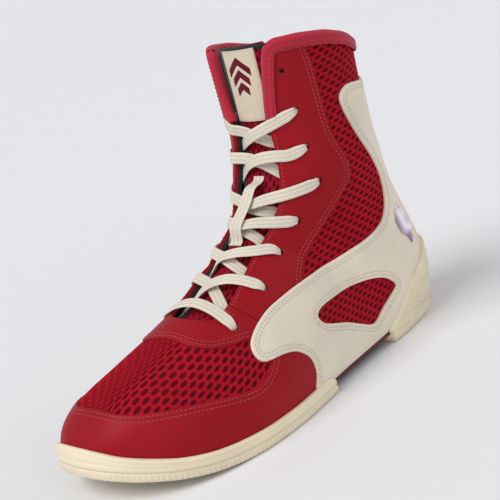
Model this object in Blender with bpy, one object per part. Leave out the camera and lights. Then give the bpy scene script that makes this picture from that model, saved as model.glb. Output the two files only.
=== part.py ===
"""A high-top boxing boot for the left foot, built from the layers a bootmaker sews and glues together.

World frame: metres, +Z up, toe toward -Y, heel toward +Y, outer (lateral) side toward +X, sole on z = 0.
The shape is worked out in boot coordinates, in millimetres: w across (outer side positive), l forward from
the heel, h up from the floor. Every layer of the upper is an offset of one last surface, so neighbours stay
parallel.
"""

import math

import bmesh
import bpy
import mathutils
import numpy as np

# ---- driving sizes, in millimetres -------------------------------------------------------------------------
TOE_L = 285.5
TOP_H = 212.0
PIVOT = (162.0, 124.0)
COLUMNS = 11
MID_L = 143.24
MID_W = 0.12

# Ridge of the last in side view, from the toe tip over the instep and up the front of the shaft: (l, h).
RIDGE = [(285.5, 25.5), (284.6, 29.5), (282, 34), (276, 41.5), (267, 48.3), (253.5, 54.4), (238.5, 59),
         (223, 63.6), (208, 68.7), (193, 74.5), (178, 81), (162.5, 90), (147, 99.5), (135, 107), (126, 114.5),
         (119.5, 124), (114.5, 138), (111.8, 153), (111, 168), (110.8, 190), (110.8, 212)]
# Lower edge of the upper, where it meets the sole: (l, h).
FEATHER = [(3.5, 10.5), (20, 10), (60, 8.8), (90, 8.2), (120, 7.6), (150, 7.4), (200, 7.6), (230, 9), (250, 12.3),
           (270, 18.5), (285.5, 25.4)]
# Back of the heel and shaft: (h, l).
BACK = [(10.5, 3.5), (20, 0.8), (30, 0), (40, 0.8), (65, 9), (90, 18.3), (110, 22), (135, 23.6), (165, 24.3),
        (212, 22.5)]
# Outer and inner edge of the footprint, and its centre-line: (l, w).
OUTER_EDGE = [(3.5, 0), (5.5, 9), (9, 15), (14, 20.5), (22, 25.6), (40, 31), (60, 34.7), (80, 37.4), (100, 39.7),
              (120, 42), (140, 45.3), (160, 48.7), (180, 51.7), (200, 52.3), (220, 50), (240, 45), (255, 38),
              (268, 28), (277, 18), (283, 6), (285.5, -6)]
INNER_EDGE = [(3.5, 0), (5.5, 9), (9, 15), (14, 20.5), (22, 26), (40, 32), (60, 34), (80, 33), (100, 31),
              (120, 31), (140, 34.3), (160, 40.7), (180, 47.2), (200, 51.3), (220, 52), (240, 49.5), (255, 46),
              (268, 40), (277, 33), (283, 23), (285.5, 6)]
CENTRE = [(4, 0), (120, 0), (160, 2), (200, 5), (230, 4), (265, -1), (285.5, -6)]
SHAFT_HALF_WIDTH = [(124, 40.8), (138, 39.8), (168, 40.7), (212, 43.5)]

# Offsets of each layer from the last surface: (inner face, outer face).
LINING = (-4.4, -3.6)
STIFFENER = (-3.2, -2.3)
MESH = (-2.0, -1.0)
SKIN = (-0.7, 0.2)
OVERLAY = (-0.7, 1.0)
BADGE = (1.3, 2.5)
SOLE_LIP = (1.4, 3.9)
FACING = (-4.4, -2.0)
TONGUE = (-9.4, -6.9)
TONGUE_LINING = (-10.6, -9.7)
TONGUE_LABEL = (-6.5, -5.7)

# Throat opening: (l, h) of the station on the ridge, half-width of the cut in the skin measured round the boot.
THROAT = [((200.0, 71.8), 6.0), ((198.5, 72.4), 13.0), ((195, 73.7), 18.0), ((188, 76.6), 20.5),
          ((178, 81), 21.0), ((162.5, 90), 20.5), ((147, 99.5), 20.5), ((135, 107), 21.0), ((126, 114.5), 21.6),
          ((119.5, 124), 20.1), ((114.5, 138), 18.0), ((112.4, 148), 16.5), ((111.6, 157.4), 15.0),
          ((111.5, 158.6), 18.2), ((111, 168), 18.0), ((110.8, 180), 20.0), ((110.8, 190), 22.5),
          ((110.8, 200), 25.5), ((110.8, 212), 27.0)]
# Where the mesh and lining stop and the laced facing takes over, on the same kind of station.
FACING_EDGE = [((206, 69.4), 12.0), ((204, 70.1), 28.0), ((198, 72.5), 36.0), ((188, 76.6), 40.0),
               ((178, 81), 41.0), ((162.5, 90), 41.0), ((147, 99.5), 41.0), ((135, 107), 43.0),
               ((126, 114.5), 46.6), ((122, 119.5), 48.5), ((119.5, 124), 47.4), ((114.5, 138), 43.0), ((111, 168), 41.0),
               ((110.8, 190), 41.0), ((110.8, 212), 41.0)]

# Side-view outlines (l, h) of the panels; both sides of the boot use the same ones.
SIDE_OVERLAY = [(-20, 158), (35, 161), (58, 164), (66, 163), (70.5, 159), (70, 152), (66, 141), (60, 128),
                (52, 114), (47.5, 103), (48, 91), (53, 80), (61, 73.5), (76, 69.5), (96, 68), (115, 67.5),
                (136, 67), (161, 65), (175, 61), (186, 55.5), (190.5, 50.5), (190.5, 45), (186, 42), (173, 40.5),
                (163, 37), (155, 29), (153.5, 19), (158, 9), (163, -12), (-20, -12)]
OVERLAY_WINDOW = [(57, 33), (63, 39), (72, 43.5), (86, 47), (102, 49), (120, 49.5), (131, 48.5), (135.5, 45),
                  (130, 39), (112, 31.5), (98, 24), (89, 19.5), (82, 19.5), (70, 25), (59, 30)]
TOE_RAND = [(300, -10), (300, 60), (270, 60), (269, 48), (264, 45), (256, 43.5), (244, 41.5), (230, 39),
            (216, 36), (203, 34), (192, 35.5), (184, 40.5), (177, 48), (165, 50), (148, 40), (144, 22),
            (144, -10)]
THROAT_BAND = [(217, 85), (216, 66), (214, 62), (208, 58.5), (198, 56.5), (187, 55), (183, 50), (172, 53),
               (176.2, 61), (182.5, 75), (185, 90)]
EYESTAY_BACK = [(88, 215), (87, 201), (84.5, 184), (83.5, 168), (82, 142), (77.5, 126), (76, 117), (78, 109.5),
                (88, 101.5), (104, 87), (124, 75), (134, 66), (140, 55), (165, 52), (171.5, 53.5), (175.7, 61.3),
                (182, 75.2), (184.3, 90), (186, 100), (150, 140), (150, 215)]
COLLAR_LINE = [(125, 192.5), (108, 192.5), (104, 196.2), (98, 198.2), (90, 198.4), (72, 195.5), (54, 190), (42, 184.5),
               (28, 180), (-20, 176)]
TOE_PUFF = [(300, -10), (300, 70), (248, 70), (246, 45), (252, 28), (252, -10)]
HEEL_COUNTER = [(-20, -10), (-20, 66), (30, 64), (50, 50), (66, 32), (76, 20), (80, -10)]
COLLAR_PAD = [(-20, 90), (40, 88), (62, 96), (72, 110), (76, 126), (78, 150), (78, 230), (-20, 230)]
HEEL_CUP = [(-20, 47), (0, 46), (12, 43.5), (26, 37), (38, 31), (51, 22.5), (64, 13.5), (72, 10), (76, -6),
            (-20, -6)]
TOE_CUP = [(300, 36), (286, 33), (276, 26.5), (262, 20.5), (250, 16.5), (230, 12.8), (200, 11), (160, 10.8),
           (146, 10.5), (140, 8), (138, -6), (300, -6)]
BADGE_OUTLINE = [(43, 78), (36, 76), (27, 66), (24, 56), (28, 60), (31, 50), (36, 58), (42, 62), (45, 70)]

# Lace holes on one side, top one (not laced) first: (l, h) in side view.
HOLES = [(100, 184), (98, 160), (99, 138), (98.5, 116.4), (115, 98), (135, 86), (159, 74), (190, 62.5)]
HOLE_RADIUS = 4.0
SPARE_HOLE_RADIUS = 2.0
LACE_WIDTH = 6.4
LACE_THICK = 1.0
LACE_PINCH = 3.6
LACE_OUT = 1.3
LACE_IN = -5.75

# How far, in rows, each crossing is pushed along the tongue by the keeper; lowest first.
CROSSING_SHIFT = [0, -0.4, 0, 0, 0.5, 0]
TONGUE_FOLD = (93.0, 164.0)
TONGUE_TOP_H = 203.0
PLATE_THICK = 3.0
GAP = 0.3

COLOURS = {
    "red_mesh": ((0.42, 0.012, 0.035), 0.85, 0.0),
    "red_skin": ((0.30, 0.012, 0.022), 0.5, 0.0),
    "crimson_binding": ((0.48, 0.016, 0.05), 0.8, 0.0),
    "cream_skin": ((0.70, 0.63, 0.53), 0.5, 0.0),
    "cream_rubber": ((0.78, 0.70, 0.54), 0.6, 0.0),
    "maroon_plate": ((0.10, 0.012, 0.02), 0.5, 0.0),
    "black_lining": ((0.015, 0.015, 0.017), 0.9, 0.0),
    "foam": ((0.30, 0.30, 0.31), 0.95, 0.0),
    "board": ((0.45, 0.40, 0.33), 0.9, 0.0),
    "lace": ((0.76, 0.70, 0.60), 0.85, 0.0),
    "aglet": ((0.80, 0.76, 0.70), 0.35, 0.0),
    "badge": ((0.55, 0.48, 0.52), 0.25, 0.8),
}


# ---- curves ------------------------------------------------------------------------------------------------
def smooth(points, x):
    """Monotone cubic curve through hand-set points, read at x."""
    xs, ys = np.array(sorted(points), float).T
    x = np.clip(x, xs[0], xs[-1])
    step = np.diff(xs)
    slope = np.diff(ys) / step
    tangent = np.zeros(len(xs))
    tangent[0] = slope[0]
    tangent[-1] = slope[-1]
    for i in range(1, len(xs) - 1):
        if slope[i - 1] * slope[i] > 0:
            a = 2 * step[i] + step[i - 1]
            b = step[i] + 2 * step[i - 1]
            tangent[i] = (a + b) / (a / slope[i - 1] + b / slope[i])
    i = np.clip(np.searchsorted(xs, x) - 1, 0, len(step) - 1)
    t = (x - xs[i]) / step[i]
    ends = ys[i] * (1 + 2 * t) * (1 - t) ** 2 + ys[i + 1] * t * t * (3 - 2 * t)
    return ends + step[i] * (tangent[i] * t * (1 - t) ** 2 - tangent[i + 1] * t * t * (1 - t))


def through(points, per_span=8):
    """Catmull-Rom polyline through the points."""
    p = np.array(points, float)
    p = np.concatenate([[2 * p[0] - p[1]], p, [2 * p[-1] - p[-2]]])
    made = []
    for k in range(1, len(p) - 2):
        for t in np.arange(per_span) / per_span:
            a, b, c, d = p[k - 1], p[k], p[k + 1], p[k + 2]
            made.append(0.5 * (2 * b + (c - a) * t + (2 * a - 5 * b + 4 * c - d) * t**2
                               + (3 * b - a - 3 * c + d) * t**3))
    made.append(p[-2])
    return np.array(made)


def first_hit(line, origin, direction, last=False):
    """Where a ray in the side view meets a polyline."""
    origin = np.array(origin, float)
    start = line[:-1] - origin
    end = line[1:] - origin
    across = np.array([-direction[1], direction[0]])
    a = start @ across
    b = end @ across
    found = []
    for i in np.where(a * b <= 0)[0]:
        t = a[i] / (a[i] - b[i]) if a[i] != b[i] else 0.0
        point = start[i] + t * (end[i] - start[i])
        if point @ direction > 0:
            found.append((float(point @ direction), point + origin))
    found.sort(key=lambda item: item[0])
    return found[-1 if last else 0][1]


RIDGE_LINE = through(RIDGE)
BACK_H = np.linspace(BACK[0][0], TOP_H, 120)
FOOT_L = np.linspace(TOE_L, FEATHER[0][0], 200)
LOWER_LINE = np.concatenate([np.stack([FOOT_L, smooth(FEATHER, FOOT_L)], 1),
                             np.stack([smooth(BACK, BACK_H), BACK_H], 1)])


# ---- the last surface --------------------------------------------------------------------------------------
def half_section(half_width, end_width, widest, top_power, low_power):
    """Half of a cross-section from the ridge to its lower end: share of the way down, and width."""
    turn = np.linspace(0, math.pi / 2, 40)
    share_a = widest * (1 - np.cos(turn))
    width_a = half_width * (1 - (1 - share_a / widest) ** top_power) ** (1 / top_power)
    s = np.sin(np.linspace(0, 1, 40)[1:] * math.pi / 2)
    width_b = end_width + (half_width - end_width) * np.clip(1 - s**low_power, 0, 1) ** (1 / low_power)
    return np.concatenate([share_a, widest + (1 - widest) * s]), np.concatenate([width_a, width_b])


def forefoot_rows():
    """Upright sections from the toe tip back to the pivot."""
    rows = []
    for k in range(10):
        back_off = (TOE_L - PIVOT[0]) * (1 - math.cos(k / 9 * math.pi / 2))
        at = TOE_L - back_off + (0.4 if k == 9 else 0)
        ridge = (at, float(np.interp(-at, -RIDGE_LINE[:, 0], RIDGE_LINE[:, 1])))
        rows.append((ridge, (at, float(smooth(FEATHER, at))), "upright", (TOE_L - at) / (TOE_L - PIVOT[0])))
    return rows


def instep_rows():
    """Sections fanned about the pivot, from upright at the instep to level at the ankle."""
    rows = []
    corner = math.degrees(math.atan2(PIVOT[0] - FEATHER[0][0], PIVOT[1] - FEATHER[0][1]))
    for angle in (0, 10, 20, 30, 39, 46, 51, 54, corner, 58, 63, 70, 77, 84):
        turn = math.radians(angle)
        direction = np.array([-math.sin(turn), -math.cos(turn)])
        ridge = first_hit(RIDGE_LINE, PIVOT, direction)
        end = first_hit(LOWER_LINE, PIVOT, direction, last=True)
        if angle == corner:
            end = np.array(FEATHER[0], float)
        kind = "fan" if angle < corner else "heel"
        rows.append((tuple(ridge), tuple(end), kind, angle / 90))
    return rows


def shaft_rows():
    """Level sections up the shaft."""
    rows = []
    for h in (124, 140, 157, 175, 193, TOP_H):
        ridge = float(np.interp(h, RIDGE_LINE[:, 1], RIDGE_LINE[:, 0]))
        rows.append(((ridge, h), (float(smooth(BACK, h)), h), "level", h))
    return rows


def side_of_row(row, side):
    """Share and width along one side of a row."""
    ridge, end, kind, value = row
    centre = float(smooth(CENTRE, end[0]))
    edge = OUTER_EDGE if side > 0 else INNER_EDGE
    end_width = float(smooth(edge, end[0])) - side * centre
    drop = math.dist(ridge, end)
    if kind == "upright":
        return half_section(end_width + 1.5 * min(1, drop / 30), end_width, 0.8, 2.3 - 0.55 * min(1, value * 1.3), 2.2)
    if kind == "fan":
        return half_section(max(end_width + 1.5, 37), end_width, 0.8 - 0.25 * min(1, value * 1.5),
                            1.75 + 0.585 * value, 2.2)
    if kind == "heel":
        blend = (value * 90 - 54.4) / 35.6
        return half_section(37.0 + 3.8 * blend, 0, 0.55 - 0.05 * blend, 2.1, 2.2)
    return half_section(float(smooth(SHAFT_HALF_WIDTH, value)), 0, 0.5, 2.1, 2.1)


def point_row(row):
    """Grid points of one row, from the inner side's end over the ridge to the outer side's end."""
    ridge, end = np.array(row[0], float), np.array(row[1], float)
    centre = float(smooth(CENTRE, row[1][0]))
    halves = []
    for side in (-1, 1):
        share, width = side_of_row(row, side)
        if math.dist(ridge, end) < 1e-6 or row[3] == 0 and row[2] == "upright":
            halves.append(np.tile([centre, end[0], 0.5 * (end[1] + ridge[1])], (COLUMNS, 1)))
            continue
        span = np.concatenate([[0], np.cumsum(np.hypot(np.diff(share) * math.dist(ridge, end), np.diff(width)))])
        at = np.linspace(0, span[-1], COLUMNS)
        share, width = np.interp(at, span, share), np.interp(at, span, width)
        side_view = ridge + (end - ridge) * share[:, None]
        halves.append(np.column_stack([centre + side * width, side_view]))
    return np.concatenate([halves[0][::-1], halves[1][1:]])


ROWS = forefoot_rows() + instep_rows() + shaft_rows()
GRID = np.array([point_row(row) for row in ROWS])
RIDGE_COL = COLUMNS - 1
LAST_COL = 2 * COLUMNS - 2
VAMP_END = 9
QUARTER_START = 10
LAST_ROW = len(ROWS) - 1
CLOSED = [row[2] in ("heel", "level") for row in ROWS]


def key_of(i, j):
    """Grid points that coincide share one key: the toe tip, and the back seam."""
    if i == 0:
        return (0, 0)
    if CLOSED[i] and j == LAST_COL:
        return (i, 0)
    return (i, j)


def cell_faces(i, j):
    """The two triangles of a cell, split the same way in every layer and mirrored across the ridge."""
    a, b, c, d = key_of(i, j), key_of(i, j + 1), key_of(i + 1, j + 1), key_of(i + 1, j)
    pair = [(a, b, c), (a, c, d)] if j >= RIDGE_COL else [(a, b, d), (b, c, d)]
    return [face for face in pair if len(set(face)) == 3]


def grid_normals():
    """Outward direction at each grid point; level along the lower edge, so that every layer ends flush there."""
    total = np.zeros_like(GRID)
    for i in range(LAST_ROW):
        for j in range(LAST_COL):
            for face in cell_faces(i, j):
                p = [GRID[k] for k in face]
                area = np.cross(p[1] - p[0], p[2] - p[0])
                for k in face:
                    total[k] += area
    for i in range(LAST_ROW + 1):
        for j in range(LAST_COL + 1):
            total[i, j] = total[key_of(i, j)]
    for i in range(LAST_ROW + 1):
        if not CLOSED[i] or ROWS[i][1] == tuple(FEATHER[0]):
            for j in (0, LAST_COL):
                total[i, j, 2] = 0
    total[0, :, 2] = 0
    total /= np.linalg.norm(total, axis=2, keepdims=True)
    shared = total[VAMP_END] + total[QUARTER_START]
    shared /= np.linalg.norm(shared, axis=1, keepdims=True)
    total[VAMP_END] = total[QUARTER_START] = shared
    middle = GRID[15, RIDGE_COL]
    outward = np.sign(np.dot(total[15, RIDGE_COL], middle - np.array([0, 100, 60])))
    return total * outward


NORMAL = grid_normals()


def spot(row, col, offset):
    """Point at a fractional row and column of the last, raised by offset."""
    i = int(np.clip(math.floor(row), 0, LAST_ROW - 1))
    j = int(np.clip(math.floor(col), 0, LAST_COL - 1))
    u, v = row - i, col - j
    weight = [((i, j), (1 - u) * (1 - v)), ((i, j + 1), (1 - u) * v), ((i + 1, j), u * (1 - v)), ((i + 1, j + 1), u * v)]
    return sum(share * (GRID[k] + offset * NORMAL[k]) for k, share in weight)


def outward_at(row, col):
    made = spot(row, col, 1.0) - spot(row, col, 0.0)
    return made / np.linalg.norm(made)


def column_step(row, side):
    """Millimetres from the ridge to the next column on one side."""
    return float(np.linalg.norm(spot(row, RIDGE_COL + side, 0) - spot(row, RIDGE_COL, 0)))


def column_at(row, across):
    """Column lying this many millimetres round from the ridge; the sign picks the side."""
    side = 1 if across > 0 else -1
    return RIDGE_COL + across / column_step(row, side)


def ridge_row(l, h):
    """Fractional row whose ridge point is nearest to (l, h)."""
    ridge = np.array([row[0] for row in ROWS], float)
    best = (1e9, 0.0)
    for i in range(LAST_ROW):
        span = ridge[i + 1] - ridge[i]
        t = float(np.clip(np.dot(np.array([l, h]) - ridge[i], span) / max(np.dot(span, span), 1e-9), 0, 1))
        best = min(best, (float(np.hypot(*(ridge[i] + t * span - [l, h]))), i + t))
    return best[1]


def locate(l, h, side):
    """Fractional row and column of a side-view point on one side of the boot."""
    best = (1e9, 0.0, 0.0)
    for i in range(1, LAST_ROW):
        for j in range(COLUMNS - 1):
            a, b = RIDGE_COL + side * j, RIDGE_COL + side * (j + 1)
            corner = GRID[i, a, 1:]
            down = GRID[i + 1, a, 1:] - corner
            round_to = GRID[i, b, 1:] - corner
            base = np.column_stack([down, round_to])
            if abs(np.linalg.det(base)) < 1e-6:
                continue
            u, v = np.linalg.solve(base, np.array([l, h]) - corner)
            miss = max(0, -u, u - 1) + max(0, -v, v - 1)
            best = min(best, (miss, i + u, RIDGE_COL + side * (j + v)))
    return best[1], best[2]


def hole_spots():
    """Row and distance round the boot of every lace hole, top one first; both sides are punched alike."""
    found = [locate(l, h, 1) for l, h in HOLES]
    return [(row, abs(col - RIDGE_COL) * column_step(row, 1)) for row, col in found]


# ---- making objects ----------------------------------------------------------------------------------------
def clear_scene():
    for obj in list(bpy.data.objects):
        bpy.data.objects.remove(obj)


def to_world(point):
    w, l, h = point
    return ((w - MID_W) / 1000, (MID_L - l) / 1000, h / 1000)


def material(name):
    made = bpy.data.materials.get(name)
    if made:
        return made
    colour, roughness, metallic = COLOURS[name]
    made = bpy.data.materials.new(name)
    made.use_nodes = True
    shader = made.node_tree.nodes["Principled BSDF"]
    shader.inputs["Base Color"].default_value = (*colour, 1)
    shader.inputs["Roughness"].default_value = roughness
    shader.inputs["Metallic"].default_value = metallic
    return made


def solid(name, points, faces, paint=None):
    """A closed mesh from millimetre points; a helper when it has no paint."""
    mesh = bpy.data.meshes.new(name)
    mesh.from_pydata([to_world(p) for p in points], [], faces)
    shape = bmesh.new()
    shape.from_mesh(mesh)
    bmesh.ops.recalc_face_normals(shape, faces=shape.faces)
    shape.to_mesh(mesh)
    shape.free()
    obj = bpy.data.objects.new(name, mesh)
    if paint:
        mesh.materials.append(material(paint))
        PARTS.objects.link(obj)
    else:
        obj.hide_render = True
        obj.display_type = "WIRE"
        HELPERS.objects.link(obj)
    return obj


def boolean(obj, operation, other):
    """MANIFOLD, because EXACT loses several of these thin curved sheets; every mesh here is closed."""
    step = obj.modifiers.new(operation.title() + " " + other.name, "BOOLEAN")
    step.operation = operation
    step.solver = "MANIFOLD"
    step.object = other


def cut(obj, *others):
    for other in others:
        boolean(obj, "DIFFERENCE", other)


def keep(obj, *others):
    for other in others:
        boolean(obj, "INTERSECT", other)


def layer(name, paint, offsets, rows, side=0):
    """Closed sheet of the last between two offsets; side 0 is both sides, 1 the outer, -1 the inner."""
    inner, outer = offsets
    first, last = {0: (0, LAST_COL), 1: (RIDGE_COL, LAST_COL), -1: (0, RIDGE_COL)}[side]
    faces = []
    for i in range(rows[0], rows[1]):
        for j in range(first, last):
            faces += [tuple((k, j >= RIDGE_COL) if side else (k, True) for k in face) for face in cell_faces(i, j)]
    keys = sorted({k for face in faces for k in face})
    index = {k: n for n, k in enumerate(keys)}
    points = []
    for offset in (outer, inner):
        for (i, j), _ in keys:
            p = GRID[i, j] + offset * NORMAL[i, j]
            if side and (j == RIDGE_COL or (j == 0 and CLOSED[i])):
                p = p + np.array([side * 0.15, 0, 0])
            points.append(p)
    count = len(keys)
    made = [tuple(index[k] for k in face) for face in faces]
    edges = {}
    for a, b, c in made:
        for edge in ((a, b), (b, c), (c, a)):
            edges[edge] = True
    walls = []
    for a, b in edges:
        if (b, a) not in edges:
            walls += [(b, a, a + count), (b, a + count, b + count)]
    back = [(c + count, b + count, a + count) for a, b, c in made]
    return solid(name, points, made + back + walls, paint)


def offset_outline(outline, grow):
    """The outline moved outward by grow along its corner normals."""
    p = np.array(outline, float)
    ahead = np.roll(p, -1, axis=0) - p
    ahead /= np.linalg.norm(ahead, axis=1, keepdims=True)
    behind = np.roll(ahead, 1, axis=0)
    area = np.sum(p[:, 0] * np.roll(p[:, 1], -1) - np.roll(p[:, 0], -1) * p[:, 1])
    normal = np.column_stack([ahead[:, 1] + behind[:, 1], -ahead[:, 0] - behind[:, 0]]) * np.sign(area)
    length = np.linalg.norm(normal, axis=1, keepdims=True)
    normal /= length
    stretch = np.minimum(2 / length, 1.6)
    return p + normal * grow * stretch


def prism(name, outline, side=0, grow=0.0):
    """Cutter: a side-view outline run across the boot, or across one side of it."""
    outline = offset_outline(outline, grow) if grow else np.array(outline, float)
    first, last = {0: (-90, 90), 1: (-3, 90), -1: (-90, 3)}[side]
    count = len(outline)
    points = [(first, l, h) for l, h in outline] + [(last, l, h) for l, h in outline]
    faces = [tuple(range(count)), tuple(range(2 * count - 1, count - 1, -1))]
    faces += [(i, (i + 1) % count, (i + 1) % count + count, i + count) for i in range(count)]
    return solid(name, points, faces)


def ridge_strip(name, stations, offsets, paint=None, across=6, shorter=0.0):
    """Closed strip centred on the ridge: stations give ridge points and half-widths."""
    at = np.array([ridge_row(*place) for place, _ in stations])
    at[at > LAST_ROW - 0.01] = LAST_ROW + 0.2
    half = np.array([width for _, width in stations])
    whole = [n for n in range(LAST_ROW + 1) if at[0] < n < at[-1] and np.abs(at - n).min() > 0.3]
    rows = np.sort(np.concatenate([at, whole]))
    rows[0] += shorter
    points, faces = [], []
    for row in rows:
        width = float(np.interp(row, at, half))
        for offset in offsets:
            for t in np.linspace(-1, 1, across + 1):
                col = column_at(row, t * width if t else 1e-6)
                points.append(spot(row, col, offset))
    line, ring = across + 1, 2 * (across + 1)
    for k in range(len(rows) - 1):
        for t in range(across):
            a = k * ring + t
            for low in (a, a + line):
                faces.append((low, low + 1, low + 1 + ring, low + ring))
        for edge in (k * ring, k * ring + across):
            faces.append((edge, edge + line, edge + line + ring, edge + ring))
    for start in (0, (len(rows) - 1) * ring):
        for t in range(across):
            faces.append((start + t, start + t + 1, start + t + 1 + line, start + t + line))
    return solid(name, points, faces, paint)


def sweep(name, centres, sides, widths, thicks, paint=None):
    """Rectangular section carried along a path; sides are the section's width directions."""
    centres, sides = np.array(centres), np.array(sides)
    points, faces = [], []
    ahead = np.gradient(centres, axis=0)
    for k, centre in enumerate(centres):
        along = ahead[k] / np.linalg.norm(ahead[k])
        wide = sides[k] - along * np.dot(sides[k], along)
        wide /= np.linalg.norm(wide)
        deep = np.cross(along, wide)
        for a, b in ((1, 1), (-1, 1), (-1, -1), (1, -1)):
            points.append(centre + wide * a * widths[k] / 2 + deep * b * thicks[k] / 2)
    count = len(centres)
    for k in range(count - 1):
        for c in range(4):
            a, b = 4 * k + c, 4 * k + (c + 1) % 4
            faces.append((a, b, b + 4, a + 4))
    faces += [(0, 1, 2, 3), tuple(4 * (count - 1) + c for c in (3, 2, 1, 0))]
    return solid(name, points, faces, paint)


def tube(name, start, end, radius, sides=8, paint=None):
    """Straight round bar between two points."""
    start, end = np.array(start, float), np.array(end, float)
    along = (end - start) / np.linalg.norm(end - start)
    helper = np.array([0, 0, 1.0]) if abs(along[2]) < 0.9 else np.array([1.0, 0, 0])
    a = np.cross(along, helper)
    a /= np.linalg.norm(a)
    b = np.cross(along, a)
    turns = [2 * math.pi * k / sides for k in range(sides)]
    points = [p + radius * (math.cos(t) * a + math.sin(t) * b) for p in (start, end) for t in turns]
    faces = [(k, (k + 1) % sides, (k + 1) % sides + sides, k + sides) for k in range(sides)]
    faces += [tuple(range(sides)), tuple(range(2 * sides - 1, sides - 1, -1))]
    return solid(name, points, faces, paint)


# ---- sole ----------------------------------------------------------------------------------------------------
def footprint(grow):
    """Outer and inner edge of the sole, each from toe to heel, moved outward by grow."""
    low = [i for i in range(1, LAST_ROW) if not CLOSED[i]]
    outer = np.array([GRID[i, LAST_COL, :2] for i in low])
    inner = np.array([GRID[i, 0, :2] for i in low])
    toe, heel = GRID[0, 0, :2], np.array([0.0, FEATHER[0][0]])
    ring = np.concatenate([[toe], outer, [heel], inner[::-1]])
    ahead = np.roll(ring, -1, axis=0) - np.roll(ring, 1, axis=0)
    normal = np.column_stack([-ahead[:, 1], ahead[:, 0]])
    normal /= np.linalg.norm(normal, axis=1, keepdims=True)
    ring = ring + normal * grow
    count = len(outer)
    return ring[0], ring[1:count + 1], ring[count + 1], ring[count + 2:][::-1]


def slab(name, grow, bottom, top, paint=None):
    """Plate with the plan of the boot, grown by grow; bottom and top give heights along it."""
    toe, outer, heel, inner = footprint(grow)
    ring = [toe, *outer, heel, *inner[::-1]]
    points = [(w, l, level(l)) for level in (bottom, top) for w, l in ring]
    size, count = len(ring), len(outer)
    faces = []
    for base in (0, size):
        faces.append((base, base + 1, base + size - 1))
        for k in range(1, count):
            faces.append((base + k, base + k + 1, base + size - k - 1, base + size - k))
        faces.append((base + count, base + count + 1, base + count + 2))
    faces += [(k, (k + 1) % size, (k + 1) % size + size, k + size) for k in range(size)]
    return solid(name, points, faces, paint)


def feather(l):
    return float(smooth(FEATHER, l))


def tread_height(l):
    """Underside of the outsole: flat on the floor from heel to ball, sprung up at the toe and rolled at the heel."""
    return float(smooth([(-5, 2.5), (4, 1.2), (14, 0), (200, 0), (215, 0.2), (230, 1.3), (250, 4.6), (270, 10.2),
                         (280, 14), (292, 19.5)], l))


def make_sole():
    slab("midsole_plate", 0.9, lambda l: feather(l) - GAP - PLATE_THICK, lambda l: feather(l) - GAP, "maroon_plate")
    hollow = slab("midsole_hollow", 1.9, lambda l: feather(l) - 2 * GAP - PLATE_THICK, lambda l: feather(l) + 30)
    for name, cup, rows in (("outsole_forefoot", TOE_CUP, (0, VAMP_END + 4)), ("outsole_heel", HEEL_CUP, (12, 24))):
        pod = slab(name, 4.4, tread_height, lambda l: feather(l) + 1.2, "cream_rubber")
        cut(pod, hollow)
        cup_cutter = prism(name + "_region", cup)
        lip = layer(name + "_lip", None, SOLE_LIP, rows)
        boolean(pod, "UNION", lip)
        keep(pod, cup_cutter)
        cut(pod, tread_grooves(name + "_grooves", (150, 262, 8) if "fore" in name else (10, 66, 5)))


def tread_grooves(name, span):
    """Shallow bars that leave cross-grooves in the tread."""
    points, faces = [], []
    for at in np.linspace(*span):
        base = len(points)
        for l in (at - 0.8, at + 0.8):
            for w in (-75, 75):
                for h in (-4, 1.1):
                    points.append((w, l, tread_height(at) + h))
        for face in ((0, 1, 3, 2), (4, 6, 7, 5), (0, 4, 5, 1), (2, 3, 7, 6), (0, 2, 6, 4), (1, 5, 7, 3)):
            faces.append(tuple(base + k for k in face))
    return solid(name, points, faces)


def make_footbed():
    slab("insole_board", -5.6, lambda l: feather(l) + 0.0, lambda l: feather(l) + 1.8, "board")
    slab("sockliner", -5.8, lambda l: feather(l) + 2.1, lambda l: feather(l) + 5.6, "foam")


# ---- upper ---------------------------------------------------------------------------------------------------
def make_cutters():
    made = {}
    made["throat"] = ridge_strip("throat_cutter", THROAT, (-13, 7), across=4)
    made["facing_edge"] = ridge_strip("facing_edge_cutter", FACING_EDGE, (-13, 7), across=6)
    made["above_collar"] = prism("above_collar", COLLAR_LINE + [(-20, 240), (125, 240)])
    for side, tag in ((1, "lateral"), (-1, "medial")):
        holes = []
        for n, (row, across) in enumerate(hole_spots()):
            col = column_at(row, side * across)
            middle, out = spot(row, col, 0), outward_at(row, col)
            radius = HOLE_RADIUS if n else SPARE_HOLE_RADIUS
            holes.append(tube(f"lace_hole_{tag}_{n}", middle - 8 * out, middle + 4 * out, radius, sides=6))
        made["holes", side] = holes
        made["overlay", side] = prism("overlay_region_" + tag, SIDE_OVERLAY, side)
        made["overlay_room", side] = prism("overlay_room_" + tag, SIDE_OVERLAY, side, grow=0.4)
        made["window", side] = prism("window_" + tag, OVERLAY_WINDOW, side)
        made["eyestay", side] = prism("eyestay_region_" + tag, EYESTAY_BACK, side)
        made["pad", side] = prism("collar_pad_region_" + tag, COLLAR_PAD, side)
        made["badge", side] = prism("badge_region_" + tag, BADGE_OUTLINE, side)
    made["rand"] = prism("toe_rand_region", TOE_RAND)
    made["band"] = prism("throat_band_region", THROAT_BAND)
    made["puff"] = prism("toe_puff_region", TOE_PUFF)
    made["counter"] = prism("heel_counter_region", HEEL_COUNTER)
    made["overlay_both"] = prism("overlay_room_both", SIDE_OVERLAY, 0, grow=0.4)
    return made


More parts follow.
